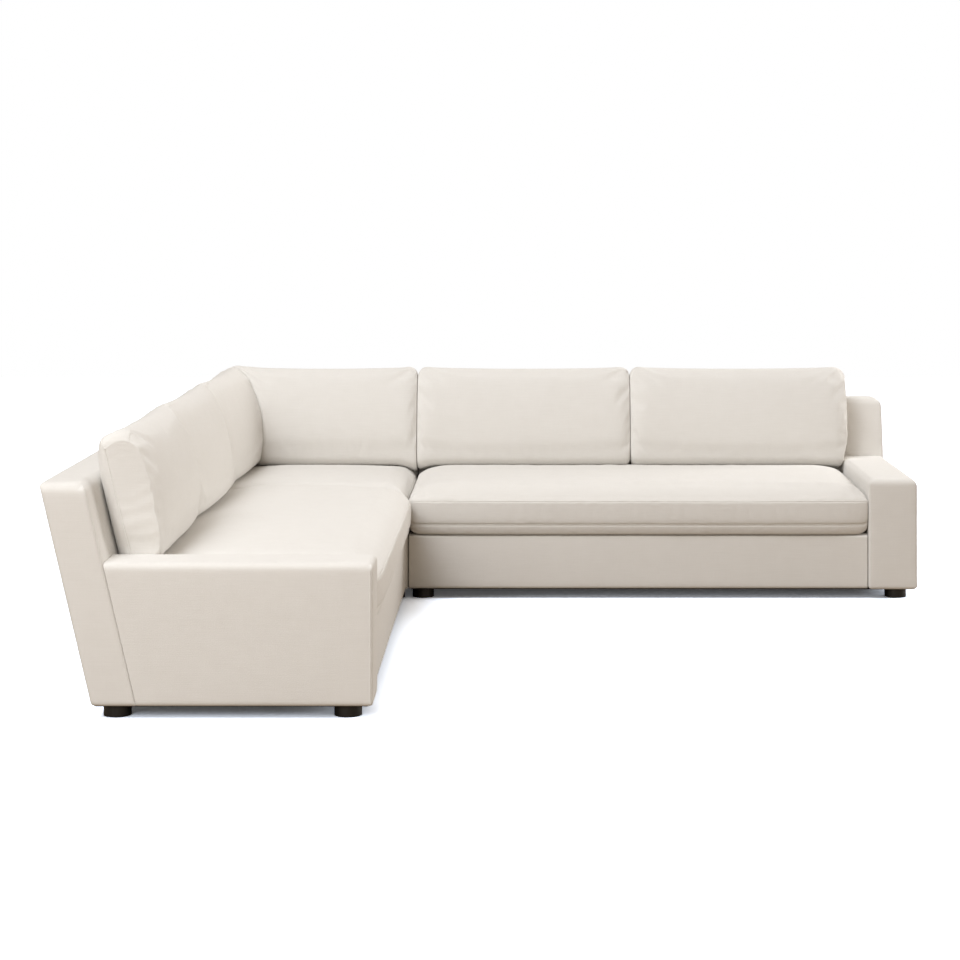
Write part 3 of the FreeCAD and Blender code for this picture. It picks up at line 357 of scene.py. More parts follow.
def grid_cube(across, deep, tall):
    """A cube cut at these places along X, Y and Z."""
    bm = bmesh.new()
    bmesh.ops.create_cube(bm, size=2)
    for axis, cuts in enumerate((across, deep, tall)):
        normal = Vector([float(n == axis) for n in range(3)])
        for cut in cuts:
            everything = bm.verts[:] + bm.edges[:] + bm.faces[:]
            bmesh.ops.bisect_plane(bm, geom=everything, dist=1e-7, plane_co=normal * cut, plane_no=normal)
    return bm


def flat_map(bm):
    """Lays each face out flat, in metres, along the two axes that it faces least."""
    layer = bm.loops.layers.uv.verify()
    for face in bm.faces:
        facing = max(range(3), key=lambda axis: abs(face.normal[axis]))
        first, second = [axis for axis in range(3) if axis != facing]
        for loop in face.loops:
            loop[layer].uv = (loop.vert.co[first], loop.vert.co[second])


def to_left(point):
    """The mirror image of a point of the right sofa, on the left sofa."""
    return Vector((-point.y, -point.x, point.z))


def subdivided(piece):
    """Gives a piece one live subdivision."""
    smooth = piece.modifiers.new("Smooth", "SUBSURF")
    smooth.levels = smooth.render_levels = 1


def shape_now(piece):
    """A new mesh with all that the piece's modifiers make of it."""
    graph = bpy.context.evaluated_depsgraph_get()
    return bpy.data.meshes.new_from_object(piece.evaluated_get(graph), depsgraph=graph)


def applied(piece):
    """Writes what the piece's modifiers make into its own mesh."""
    made = shape_now(piece)
    piece.modifiers.clear()
    old, piece.data = piece.data, made
    bpy.data.meshes.remove(old)
    made.name = piece.name


def finished(bm, name, side):
    """Turns a bmesh into a smooth cloth object, mirrored if it is on the left."""
    if side == "left":
        for vert in bm.verts:
            vert.co = to_left(vert.co)
    bmesh.ops.recalc_face_normals(bm, faces=bm.faces[:])
    for face in bm.faces:
        face.smooth = True
    flat_map(bm)
    mesh = bpy.data.meshes.new(name)
    bm.to_mesh(mesh)
    bm.free()
    mesh.materials.append(cover_cloth)
    piece = bpy.data.objects.new(name, mesh)
    scene.collection.objects.link(piece)
    subdivided(piece)
    return piece


def dress(piece, body, node):
    """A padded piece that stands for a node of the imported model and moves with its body."""
    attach(piece, body)
    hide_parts(node)


# %% [markdown]
# ## Covers over board and wadding
#
# The arm, the back and the base are hard inside, with cloth pulled tight over a thin pad. Each is a
# block with a radius for each edge, and it swells a few millimetres between its edges. The rounding
# keeps a point's larger depth below the two sides that meet, and turns the corner's square into an arc.


# %% A block with a radius for each edge
def rounded(first, second, radius):
    """Two depths below two sides that meet, moved so that their edge gets this radius."""
    a = max(0.0, radius - first)
    b = max(0.0, radius - second)
    if a == 0 or b == 0:
        return first, second
    share = max(a, b) / math.hypot(a, b)
    return radius - a * share, radius - b * share


EDGE_STEPS = (0.004, 0.010, 0.018, 0.028, 0.042)
EDGE_REACH = 0.45
COVER_PITCH = 0.07
COVER_SWELL = 0.003
TIGHT = 0.003
RIPPLES_PER_METRE = 3
RIPPLES_UP = 5
RIPPLE_SHARE = 0.5


def padded_block(start, end, front, rear, z, radii, swell=COVER_SWELL, seed=0.0, outer="front"):
    """A cover over a hard block. The four upright sides are given at any height, and the start and end
    also at any depth. radii names two sides and gives their edge's radius. Only the outer side and an end
    with a round top edge swell, because the other sides have neighbours."""
    foot, top = z
    middle = (foot + top) / 2
    length = end(front(middle), middle) - start(front(middle), middle)
    depth = rear(middle) - front(middle)
    cuts = []
    for size in (length, depth, top - foot):
        steps = [step for step in EDGE_STEPS if step < size * EDGE_REACH]
        cuts.append(spaced(size, steps, steps, COVER_PITCH))
    bm = grid_cube(*cuts)
    for vert in bm.verts:
        u, v, w = vert.co
        height = foot + (w + 1) / 2 * (top - foot)
        y_low, y_high = front(height), rear(height)
        y = y_low + (v + 1) / 2 * (y_high - y_low)
        x_low, x_high = start(y, height), end(y, height)
        dx = (1 - abs(u)) / 2 * (x_high - x_low)
        dy = (1 - abs(v)) / 2 * (y_high - y_low)
        dz = (1 - abs(w)) / 2 * (top - foot)
        names = ("start" if u < 0 else "end", "front" if v < 0 else "rear", "foot" if w < 0 else "top")

        def radius(first, second):
            return radii.get(f"{names[first]} {names[second]}", TIGHT)

        end_is_round = radius(0, 2) > TIGHT
        dx, dz = rounded(dx, dz, radius(0, 2))
        dx, dy = rounded(dx, dy, radius(0, 1))
        dy, dz = rounded(dy, dz, radius(1, 2))
        spot = (u * length * RIPPLES_PER_METRE, v * depth * RIPPLES_PER_METRE + seed, height * RIPPLES_UP)
        ripple = noise.noise(Vector(spot)) * swell * RIPPLE_SHARE
        puff = swell * (1 - u**4) * (1 - w**4) + ripple * (1 - u**8) * (1 - w**8)
        puff *= abs(v) == 1 and names[1] == outer
        side_puff = swell * (1 - v**4) * (1 - w**4) * (u == 1 and end_is_round)
        height = top - dz if w > 0 else foot + dz
        y_low, y_high = front(height), rear(height)
        y = y_high - dy + puff if v > 0 else y_low + dy - puff
        x_low, x_high = start(y, height), end(y, height)
        x = x_high - dx + side_puff if u > 0 else x_low + dx - side_puff
        vert.co = (x, y, height)
    return bm


def fixed(value):
    """A side that is the same everywhere."""
    return lambda *place: value


# %% The covers of the two sofas
ARM_EDGE = 0.026
ARM_SEAM_EDGE = 0.008
BACK_EDGE = 0.038
REAR_EDGE = 0.016
PANEL_EDGE = 0.007
HEM = 0.014
BACK_SEAM_EDGE = 0.009
PAD_EDGE = 0.006
PANEL = 0.012
# The panel below the seat cushion stands a little behind its solid, and ends a little below the deck.
PANEL_FRONT = INNER + 0.008
PANEL_REAR = INNER + 0.030
PANEL_TOP = DECK - 0.004
PANEL_END = ARM_INSIDE - 0.002
DECK_FOOT = DECK - 0.022

ARM_RADII = {
    "start top": ARM_EDGE, "end top": ARM_EDGE, "front top": ARM_EDGE, "start front": ARM_SEAM_EDGE,
    "end front": ARM_SEAM_EDGE, "start foot": HEM, "end foot": HEM, "front foot": HEM,
}
BACK_RADII = {
    "end top": BACK_EDGE, "front top": BACK_EDGE, "end front": BACK_SEAM_EDGE, "rear top": REAR_EDGE,
    "end rear": REAR_EDGE, "end foot": HEM, "rear foot": HEM,
}
PANEL_RADII = {
    "front top": PANEL_EDGE, "start front": PANEL_EDGE, "end front": PANEL_EDGE, "front foot": HEM,
}
PAD_RADII = {f"{edge} top": PAD_EDGE for edge in ("front", "rear", "start", "end")}


def back_rear(z):
    return back_face(z) + BACK_THICKNESS


for side in ("right", "left"):
    body = f"{side}_sofa"
    seed = 3.0 if side == "right" else 11.0
    covers = {
        "arm_cover": padded_block(
            fixed(ARM_INSIDE), fixed(HALF), fixed(ARM_FRONT), back_face,
            (FLOOR_GAP, ARM_TOP), ARM_RADII, seed=seed,
        ),
        "back_cover": padded_block(
            fixed(SOFA_START), fixed(HALF), back_face, back_rear,
            (FLOOR_GAP, BACK_TOP), BACK_RADII, seed=seed, outer="rear",
        ),
        "front_panel": padded_block(
            fixed(SOFA_START), fixed(PANEL_END), fixed(PANEL_FRONT), fixed(PANEL_REAR),
            (FLOOR_GAP, PANEL_TOP), PANEL_RADII, seed=seed,
        ),
        "side_panel": padded_block(
            fixed(SOFA_START), fixed(SOFA_START + PANEL), fixed(PANEL_REAR), back_face,
            (FLOOR_GAP, DECK), {}, swell=0.0,
        ),
        "deck_pad": padded_block(
            fixed(SOFA_START + PANEL), fixed(ARM_INSIDE), fixed(PANEL_REAR), back_face,
            (DECK_FOOT, DECK), PAD_RADII, swell=0.0,
        ),
    }
    for node, bm in covers.items():
        dress(finished(bm, f"{side}_{node}_cloth", side), body, f"{side}_{node}")
    print(side, "covers", len(covers))

# %% The covers of the corner unit
CORNER_FRONT = INNER + UNIT_GAP / 2


def mitre(y, z):
    """The upright plane through the corner, where the unit's two walls meet."""
    return -y


def left_wall(y, z):
    return -back_face(z)


SEAM_RADII = BACK_RADII | {"end top": TIGHT, "end front": TIGHT, "end rear": TIGHT}

for side in ("right", "left"):
    wall = padded_block(
        mitre, fixed(CORNER_END), back_face, back_rear, (FLOOR_GAP, BACK_TOP), SEAM_RADII, outer="rear"
    )
    wall_cloth = finished(wall, f"corner_{side}_back_cover_cloth", side)
    dress(wall_cloth, "corner_unit", f"corner_{side}_back_cover")

deck = padded_block(
    left_wall, fixed(CORNER_END - PANEL), fixed(CORNER_FRONT + PANEL), back_face,
    (DECK_FOOT, DECK), PAD_RADII, swell=0.0,
)
deck_cloth = finished(deck, "corner_deck_pad_cloth", "right")
dress(deck_cloth, "corner_unit", "corner_deck_pad")

sides = padded_block(
    fixed(CORNER_END - PANEL), fixed(CORNER_END), fixed(CORNER_FRONT), back_face,
    (FLOOR_GAP, DECK), {}, swell=0.0,
)
front_side = padded_block(
    left_wall, fixed(CORNER_END - PANEL), fixed(CORNER_FRONT), fixed(CORNER_FRONT + PANEL),
    (FLOOR_GAP, DECK), {}, swell=0.0,
)
front_mesh = bpy.data.meshes.new("corner_front_side")
front_side.to_mesh(front_mesh)
front_side.free()
sides.from_mesh(front_mesh)
bpy.data.meshes.remove(front_mesh)
side_cloth = finished(sides, "corner_side_panels_cloth", "right")
dress(side_cloth, "corner_unit", "corner_side_panels")
print("corner side panels", len(side_cloth.data.vertices), "points, deck", len(deck_cloth.data.vertices))

# %% [markdown]
# ## How a cushion is filled and sewn
#
# A cushion is cut slightly smaller than it ends up, and its filling pushes the cloth out between the
# seams. The same is done here: the grid becomes a cloth with a little pressure inside, held still at
# its seams, where it rests on something and where a neighbour stands against it. A few steps let it
# swell, and no point may go far. The seams are marked on the grid's own edges, so they keep their
# places, and a thin welt follows each.


# %% Seams, filling and welts
RIM = 0.9999
SEAM_MARK = 0.99
FILLING_STEPS = 15
WELT_RISE = 0.2


def marked(bm, is_seam):
    """Marks the points of the cube's grid that lie on a seam, and those of its two ends."""
    bm.verts.layers.float.new("seam")
    bm.verts.layers.float.new("end")
    seam, end = (bm.verts.layers.float[name] for name in ("seam", "end"))
    for vert in bm.verts:
        vert[seam] = float(is_seam(*vert.co))
        vert[end] = float(abs(vert.co.x) > RIM)


def filling(piece, pressure, cap, still):
    """Swells a cloth piece by a small pressure, no point by more than the cap. `still` tells how much a
    point is held, from 0 to 1, by its place and by whether it lies on one of the two ends."""
    mesh = piece.data
    group = piece.vertex_groups.new(name="held")
    seams, ends = ([value.value for value in mesh.attributes[name].data] for name in ("seam", "end"))
    for vert, seam, end in zip(mesh.vertices, seams, ends, strict=True):
        group.add([vert.index], min(1.0, max(seam, still(vert.co, end))), "REPLACE")
    start = [vert.co.copy() for vert in mesh.vertices]
    cloth = piece.modifiers.new("Filling", "CLOTH").settings
    cloth.vertex_group_mass = group.name
    cloth.quality = 5
    cloth.mass = 0.4
    cloth.tension_stiffness = cloth.compression_stiffness = 40
    cloth.shear_stiffness = 8
    cloth.bending_stiffness = 1.5
    cloth.use_pressure = True
    cloth.uniform_pressure_force = pressure
    cloth.shrink_min = -0.008
    cloth.effector_weights.gravity = 0
    for step in range(FILLING_STEPS):
        scene.frame_set(step + 1)
    swollen = shape_now(piece)
    for vert, place, grown in zip(mesh.vertices, start, swollen.vertices, strict=True):
        way = grown.co - place
        vert.co = place + way * min(1.0, cap / max(way.length, 1e-6))
    bpy.data.meshes.remove(swollen)
    piece.modifiers.clear()
    piece.vertex_groups.clear()
    scene.frame_set(1)


def sewn_in(piece, depth):
    """Draws the cloth in along its seams."""
    mesh = piece.data
    seams = mesh.attributes["seam"].data
    ways = [vert.normal.copy() for vert in mesh.vertices]
    for vert, way in zip(mesh.vertices, ways, strict=True):
        vert.co -= way * depth * seams[vert.index].value ** 2


def seam_loops(mesh):
    """The closed rings of points that lie on a seam, in order."""
    on_seam = {n for n, mark in enumerate(mesh.attributes["seam"].data) if mark.value > SEAM_MARK}
    beside = {n: [] for n in sorted(on_seam)}
    for edge in mesh.edges:
        first, second = edge.vertices
        if first in on_seam and second in on_seam:
            beside[first].append(second)
            beside[second].append(first)
    while beside:
        ring = [next(iter(beside))]
        while (following := [n for n in beside.pop(ring[-1]) if n in beside]):
            ring.append(following[0])
        yield ring


def tube(name, rings, radius, closed=True):
    """A thin round tube along rings of places, or along open lines of them, as a mesh."""
    curve = bpy.data.curves.new(name, "CURVE")
    curve.dimensions = "3D"
    curve.bevel_depth = radius
    curve.bevel_resolution = 2
    for ring in rings:
        spline = curve.splines.new("POLY")
        spline.points.add(len(ring) - 1)
        for point, place in zip(spline.points, ring, strict=True):
            point.co = (*place, 1)
        spline.use_cyclic_u = closed
    shaper = bpy.data.objects.new(name, curve)
    mesh = bpy.data.meshes.new_from_object(shaper)
    bpy.data.objects.remove(shaper)
    bpy.data.curves.remove(curve)
    mesh.name = name
    mesh.materials.clear()
    mesh.materials.append(welt_cloth)
    mesh.shade_smooth()
    piece = bpy.data.objects.new(name, mesh)
    scene.collection.objects.link(piece)
    return piece


def welted(piece, body, radius, rise):
    """Lays a welt along each seam of a piece, its middle this far outside the cloth."""
    mesh = shape_now(piece)
    points = mesh.vertices
    rings = [[points[n].co + points[n].normal * rise for n in ring] for ring in seam_loops(mesh)]
    bpy.data.meshes.remove(mesh)
    welt = tube(piece.name.replace("_cloth", "_welts"), rings, radius)
    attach(welt, body)
    return len(rings)


def cushion(bm, node, side, body, fill, pressure, cap, still, seam_depth, welt):
    """The whole making of a cushion, from a shaped grid to a filled and welted piece."""
    piece = finished(bm, f"{node}_cloth", side)
    applied(piece)
    filling(piece, pressure, cap, still)
    sewn_in(piece, seam_depth)
    subdivided(piece)
    dress(piece, body, node)
    seams = welted(piece, body, welt, welt * WELT_RISE)
    print(node, len(piece.data.vertices), "points,", seams, "seams")


# %% The seam down the front of each arm
ARM_SEAM_OUT = 0.0002
ARM_SEAM_BACK = 0.009
ARM_SEAM_FOOT = FLOOR_GAP + HEM * 0.6
ARM_SEAM_STEP = 0.02
ARM_SEAM_POINTS = 24
ARM_WELT = 0.0017

for side in ("right", "left"):
    heights = [ARM_SEAM_FOOT + n * ARM_SEAM_STEP for n in range(ARM_SEAM_POINTS)]
    places = [Vector((HALF + ARM_SEAM_OUT, ARM_FRONT + ARM_SEAM_BACK, z)) for z in heights]
    if side == "left":
        places = [to_left(place) for place in places]
    welt = tube(f"{side}_arm_welt", [places], ARM_WELT, closed=False)
    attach(welt, f"{side}_sofa")
    print(side, "arm seam", round((places[0] - places[-1]).length, 3), "m")

# %% [markdown]
# ## Seat cushions
#
# A bench cushion has a boxed band in front, with a seam above and below it, and a top panel that rises
# from the upper seam to a crown. At its ends the top comes down to the seam again and the front draws
# in, so that dark gaps open beside it. Each point of the grid is found between four curves: below, in
# front, above and behind.

# %% The section of a seat cushion
END_GAP = 0.001
SEAT_BASE = DECK + REST_GAP
SEAT_FRONT = INNER - 0.018
LOWER_SEAM = DECK + 0.046
UPPER_SEAM = DECK + 0.153
LOWER_SEAM_SHARE = 0.42
SEAT_TOE = 0.025
SEAT_TOE_TURN = 0.8
SEAM_SETBACK = 0.005
SEAM_TURN = 0.24
BAND_BULGE = 0.0015
NOSE_BULGE = 0.024
CROWN_BULGE = 0.010
SEAT_REAR = DECK + 0.190
CUSHION_FOOT = 0.172
BROW = Vector((SEAT_FRONT + 0.140, DECK + 0.220))
REAR_TOP = Vector((back_face(SEAT_REAR) - REST_GAP, SEAT_REAR))
REST_DROP = 0.001
REST = Vector((
    back_face(SEAT_REAR) - CUSHION_FOOT * math.cos(RAKE),
    SEAT_REAR + CUSHION_FOOT * math.sin(RAKE) - REST_DROP,
))
NOSE_SHARE = 0.24
REST_SHARE = 0.80
DENT = 0.009
DENT_WIDTH = 0.042
SEAT_END_RUN = 0.180
LEFT_START_RUN = 0.100
SEAT_END_POWER = 0.85
SEAT_END_DRAW = 0.026
SEAT_FOOT_LIFT = 0.042
SEAT_FOOT_RUN = 0.050


def arc(start, end, bulge, share):
    """A place along a shallow curve that stands off its chord, to the left of the way."""
    way = end - start
    left = Vector((-way.y, way.x)).normalized()
    return start + way * share + left * (bulge * 4 * share * (1 - share))


def quarter(start, run, rise, share, reach=1.0):
    """A place along a quarter of an ellipse, level at its start and upright at its end, or along that
    share of a quarter that `reach` says."""
    whole = reach * math.pi / 2
    turn = share * whole
    across = run * math.sin(turn) / math.sin(whole)
    return start + Vector((across, rise * (1 - math.cos(turn)) / (1 - math.cos(whole))))


def limited(share):
    """A share that goes no lower than 0 and no higher than 1."""
    return min(max(share, 0.0), 1.0)


def ellipse(distance, run):
    """From 0 at an edge to 1 at the end of a run, rising steeply at first."""
    share = limited(distance / run)
    return math.sqrt(share * (2 - share))


def between(a, b, below, above, ahead, behind):
    """A point inside four curves, which meets each curve where a or b is 0 or 1."""
    corners = (
        below(0) * ((1 - a) * (1 - b)) + below(1) * (a * (1 - b))
        + above(0) * ((1 - a) * b) + above(1) * (a * b)
    )
    return below(a) * (1 - b) + above(a) * b + ahead(b) * (1 - a) + behind(b) * a - corners


def lumps(first, second, seed, per_metre, height):
    """Smooth lumps of about this height, this many in each metre along the two ways."""
    return noise.noise(Vector((first * per_metre[0], second * per_metre[1], seed))) * height


def cuts_at(*shares):
    """Cuts from -1 to 1 at these shares of the way."""
    return [2 * share - 1 for share in shares]


def seat_section(front, bulge):
    """The four curves of a seat cushion, across the sofa."""
    toe = Vector((front + SEAT_TOE, SEAT_BASE))
    heel = Vector((back_face(SEAT_BASE) - REST_GAP, SEAT_BASE))
    lower = Vector((front + SEAM_SETBACK, LOWER_SEAM))
    upper = Vector((front, UPPER_SEAM))

    def ahead(b):
        if b < LOWER_SEAM_SHARE:
            return quarter(toe, lower.x - toe.x, LOWER_SEAM - SEAT_BASE, b / LOWER_SEAM_SHARE, SEAT_TOE_TURN)
        share = (b - LOWER_SEAM_SHARE) / (1 - LOWER_SEAM_SHARE)
        turned_in = SEAM_SETBACK * max(0.0, 1 - share / SEAM_TURN) ** 2
        return arc(Vector((front, LOWER_SEAM)), upper, bulge, share) + Vector((turned_in, 0))

    def above(a):
        dent = Vector((0.0, DENT * math.exp(-(((a - REST_SHARE) / DENT_WIDTH) ** 2))))
        if a < NOSE_SHARE:
            return arc(upper, BROW, NOSE_BULGE, a / NOSE_SHARE)
        if a < REST_SHARE:
            return arc(BROW, REST, CROWN_BULGE, (a - NOSE_SHARE) / (REST_SHARE - NOSE_SHARE)) - dent
        return REST.lerp(REAR_TOP, (a - REST_SHARE) / (1 - REST_SHARE)) - dent

    return lambda a, b: between(
        a, b, lambda a: toe.lerp(heel, a), above, ahead, lambda b: heel.lerp(REAR_TOP, b)
    )


SEAT_DEEP_CUTS = cuts_at(
    0.02, 0.05, 0.09, 0.14, 0.19, 0.24, 0.29, 0.35, 0.41, 0.47,
    0.53, 0.59, 0.65, 0.71, 0.76, 0.80, 0.85, 0.90, 0.96,
)
SEAT_TALL_CUTS = cuts_at(
    0.06, 0.14, 0.23, 0.32, 0.385, LOWER_SEAM_SHARE, 0.455, 0.52, 0.61, 0.71, 0.81, 0.90, 0.96,
)
SEAT_END_STEPS = (0.006, 0.015, 0.028, 0.045, 0.068, 0.098, 0.135, 0.180)
SEAT_PITCH = 0.052
HELD_ABOVE_DECK = 0.012
HELD_BEFORE_REST = 0.02
BAND_DEPTH = 0.002
SEAT_BAND_HOLD = 0.7


def seat_seams(u, v, w):
    """One seam round the top panel and one round the band's lower edge."""
    on_side = abs(u) > RIM or abs(v) > RIM
    return on_side and (w > RIM or abs(w - (2 * LOWER_SEAM_SHARE - 1)) < 1 - RIM)


def seat_held(place, end):
    """A seat cushion rests on the deck, its rear slope is below the back cushions, its ends have a
    neighbour, and its front band is firm."""
    depth = max(place.y, -place.x)
    if end > 0.5 or place.z < SEAT_BASE + HELD_ABOVE_DECK or depth > REST.x - HELD_BEFORE_REST:
        return 1.0
    return SEAT_BAND_HOLD if place.z < UPPER_SEAM and depth < INNER + BAND_DEPTH else 0.0


SEAT_MAKING = {"fill": 0.8, "pressure": 3.0, "still": seat_held, "seam_depth": 0.0042, "welt": 0.0021}
TOP_LUMPS = {"per_metre": (2.3, 2.3), "height": 0.003}
BAND_LUMPS = {"per_metre": (3.1, 6), "height": 0.002}


# %% Bench cushions
def bench(seed, start_run=SEAT_END_RUN):
    """A bench cushion of the right sofa. Its top comes down over `start_run` at the corner unit."""
    low = SOFA_START + END_GAP
    high = ARM_INSIDE - END_GAP
    section = seat_section(SEAT_FRONT, BAND_BULGE)
    long_cuts = spaced(high - low, SEAT_END_STEPS, SEAT_END_STEPS, SEAT_PITCH)
    bm = grid_cube(long_cuts, SEAT_DEEP_CUTS, SEAT_TALL_CUTS)
    marked(bm, seat_seams)
    for vert in bm.verts:
        u, v, w = vert.co
        a, b = (v + 1) / 2, (w + 1) / 2
        x = low + (u + 1) / 2 * (high - low)
        distance = min(x - low, high - x)
        y, z = section(a, b)
        rise = ellipse(distance, start_run if u < 0 else SEAT_END_RUN) ** SEAT_END_POWER
        z = min(z, UPPER_SEAM) + max(z - UPPER_SEAM, 0.0) * rise
        y += SEAT_END_DRAW * (1 - rise) * (1 - a) ** 3
        z += SEAT_FOOT_LIFT * (1 - ellipse(distance, SEAT_FOOT_RUN)) * (1 - b) ** 2
        z += lumps(x, y, seed, **TOP_LUMPS) * b * rise
        y += lumps(x, z, seed + 5, **BAND_LUMPS) * (1 - a) ** 2 * rise
        vert.co = (x, y, z)
    return bm


for side, bm in (("right", bench(1.7)), ("left", bench(8.3, LEFT_START_RUN))):
    cushion(bm, f"{side}_seat_cushion", side, f"{side}_seat", cap=0.006, **SEAT_MAKING)


# %% The square corner cushion
MITRE_FOLD = 0.0006
MITRE_FOLD_SHARE = 0.12
MITRE_FOLD_WIDTH = 0.012
CORNER_LUMP_RUN = 0.2


def corner_seat(seed):
    """The bench's section both ways, and at each point the lower of the two, with a slight fold where
    they meet."""
    section = seat_section(INNER + END_GAP, 0.0)
    bm = grid_cube([-cut for cut in reversed(SEAT_DEEP_CUTS)], SEAT_DEEP_CUTS, SEAT_TALL_CUTS)
    marked(bm, seat_seams)
    for vert in bm.verts:
        u, v, w = vert.co
        a, c, b = (v + 1) / 2, (1 - u) / 2, (w + 1) / 2
        y, z_one = section(a, b)
        x, z_two = section(c, b)
        fold = MITRE_FOLD / (abs(z_one - z_two) + MITRE_FOLD_WIDTH) ** 0.5 * MITRE_FOLD_SHARE
        z = min(z_one, z_two) - fold * b
        z += lumps(x, y, seed, **TOP_LUMPS) * b * ellipse(min(a, c), CORNER_LUMP_RUN)
        vert.co = (-x, y, z)
    return bm


cushion(corner_seat(4.1), "corner_seat_cushion", "right", "corner_seat", cap=0.005, **SEAT_MAKING)

# %% [markdown]
# ## Back cushions
#
# A back cushion is a bag of cloth around loose fill: a rear panel, and a front panel that turns over
# the top and round the ends to meet it at one seam. The front swells to a belly, and the rear panel
# rests on the sofa's back and curves in to the seam near the ends and the top.
# The cushion stands square on the leaning back, so its points are worked out as how far they stand
# off the back's face and how far they are up the slope.

# %% The section of a back cushion
CUSHION_TOE = 0.033
CUSHION_TOE_RUN = 0.060
CUSHION_BELLY = 0.040
CUSHION_END_BELLY = 0.024
CUSHION_TOP_ROUND = 0.050
FRONT_TOP = Vector((0.164, 0.478))
REAR_SEAM = Vector((0.048, 0.470))
CUSHION_END_DRAW = 0.010
CUSHION_REAR_DRAW = 0.056
CUSHION_TOP_BULGE = 0.020
TOE_SHARE = 0.08
LEFT_BACK_SHARE = 0.70
LEFT_BACK_RISE = 0.330
CUSHION_TOP_CORNER = 0.046
CUSHION_FOOT_CORNER = 0.028
CUSHION_SAG = 0.010
CUSHION_END_RUN = 0.080


def up_the_rake(forward, rise):
    """The depth and height of a point of a back cushion, on the right sofa."""
    foot = Vector((back_face(SEAT_REAR), SEAT_REAR + REST_GAP / math.cos(RAKE)))
    depth = rise * math.sin(RAKE) - forward * math.cos(RAKE)
    return foot + Vector((depth, rise * math.cos(RAKE) + forward * math.sin(RAKE)))


def cushion_section(a, b, full):
    """Forward and rise of a point, from the front at a = 0 to the rear at a = 1, and from foot to top.
    `full` is 0 at the ends, where the panels are drawn in to their seams, and 1 in the middle."""
    foot = CUSHION_FOOT - CUSHION_END_DRAW * (1 - full)
    belly = CUSHION_END_BELLY + (CUSHION_BELLY - CUSHION_END_BELLY) * full
    rest = REST_GAP + CUSHION_REAR_DRAW * (1 - full)
    toe = Vector((foot - CUSHION_TOE_RUN, 0.0))
    shin = Vector((foot, CUSHION_TOE))
    heel = Vector((rest, 0.0))
    leave = Vector((rest, LEFT_BACK_RISE))
    rear_seam = Vector((max(rest, REAR_SEAM.x), REAR_SEAM.y))

    def ahead(b):
        if b < TOE_SHARE:
            return quarter(toe, CUSHION_TOE_RUN, CUSHION_TOE, b / TOE_SHARE)
        return arc(shin, FRONT_TOP, -belly, (b - TOE_SHARE) / (1 - TOE_SHARE))

    def behind(b):
        if b < LEFT_BACK_SHARE:
            return heel.lerp(leave, b / LEFT_BACK_SHARE)
        turn = (b - LEFT_BACK_SHARE) / (1 - LEFT_BACK_SHARE) * math.pi / 2
        way = rear_seam - leave
        return leave + Vector((way.x * (1 - math.cos(turn)), way.y * math.sin(turn)))

    depth, height = (FRONT_TOP - rear_seam).x, FRONT_TOP.y
    inside, under = rounded(a * depth, (1 - b) * height, CUSHION_TOP_ROUND)
    return between(
        inside / depth, 1 - under / height, lambda a: toe.lerp(heel, a),
        lambda a: arc(FRONT_TOP, rear_seam, -CUSHION_TOP_BULGE, a), ahead, behind,
    )


CUSHION_DEEP_CUTS = cuts_at(0.05, 0.17, 0.38, 0.62, 0.83, 0.95)
CUSHION_TALL_CUTS = cuts_at(
    0.02, 0.05, TOE_SHARE, 0.13, 0.20, 0.28, 0.36, 0.45, 0.54, 0.62, 0.70, 0.78, 0.85, 0.91, 0.96, 0.985,
)
CUSHION_END_STEPS = (0.003, 0.008, 0.016, 0.027, 0.042, 0.062, 0.088, 0.120)
MITRED_END_STEPS = (0.004, 0.012, 0.024, 0.045)
CUSHION_PITCH = 0.05
MIDDLE_HEIGHT = 0.7
ARM_END = ARM_INSIDE - 0.05
ARM_END_HOLD = 0.5
FREE_ABOVE, FREE_RUN = SEAT_REAR + 0.16, 0.12
FREE_BEFORE_BACK, FREE_BACK_RUN = 0.07, 0.04


def back_seam(u, v, w):
    """One seam, round the rear panel."""
    return v > RIM and (abs(u) > RIM or abs(w) > RIM)


def back_held(place, end):
    """A back cushion rests on the seat and on the sofa's back, and a neighbour stands at each of its
    ends, except where it looks over the arm."""
    off_back = back_face(place.z) - max(place.y, -place.x)
    at_arm = max(place.x, -place.y) > ARM_END
    near_foot = limited((FREE_ABOVE - place.z) / FREE_RUN)
    near_back = limited((FREE_BEFORE_BACK - off_back) / FREE_BACK_RUN)
    return max(near_foot, near_back, end * (ARM_END_HOLD if at_arm else 1.0))


BACK_MAKING = {
    "fill": 0.75, "pressure": 4.0, "cap": 0.008, "still": back_held, "seam_depth": 0.0018, "welt": 0.0019,
}
print("a back cushion is", round(CUSHION_FOOT, 3), "m deep at its foot and", FRONT_TOP.y, "m up the slope")

# %% The form of one back cushion
MITRE_GAP = 0.0006
MITRE_TOP = {"drop": 0.4, "run": 0.025}
MITRE_BELLY = {"forward": 0.012, "run": 0.30}
MITRE_FOOT = {"lift": 0.020, "run": 0.020}
FOOT_SAG_RUN = 0.110
FILL_LUMPS = {"per_metre": (2.6, 3.1), "height": 0.0045}
CLOTH_LUMPS = {"per_metre": (8, 8), "height": 0.001}
OVER_ARM_FROM, OVER_ARM_RISE = 0.02, 0.07
OVER_ARM_RUN = 0.12


def corner_plane(y, z):
    """The upright plane through the corner, half a gap away."""
    return MITRE_GAP - y


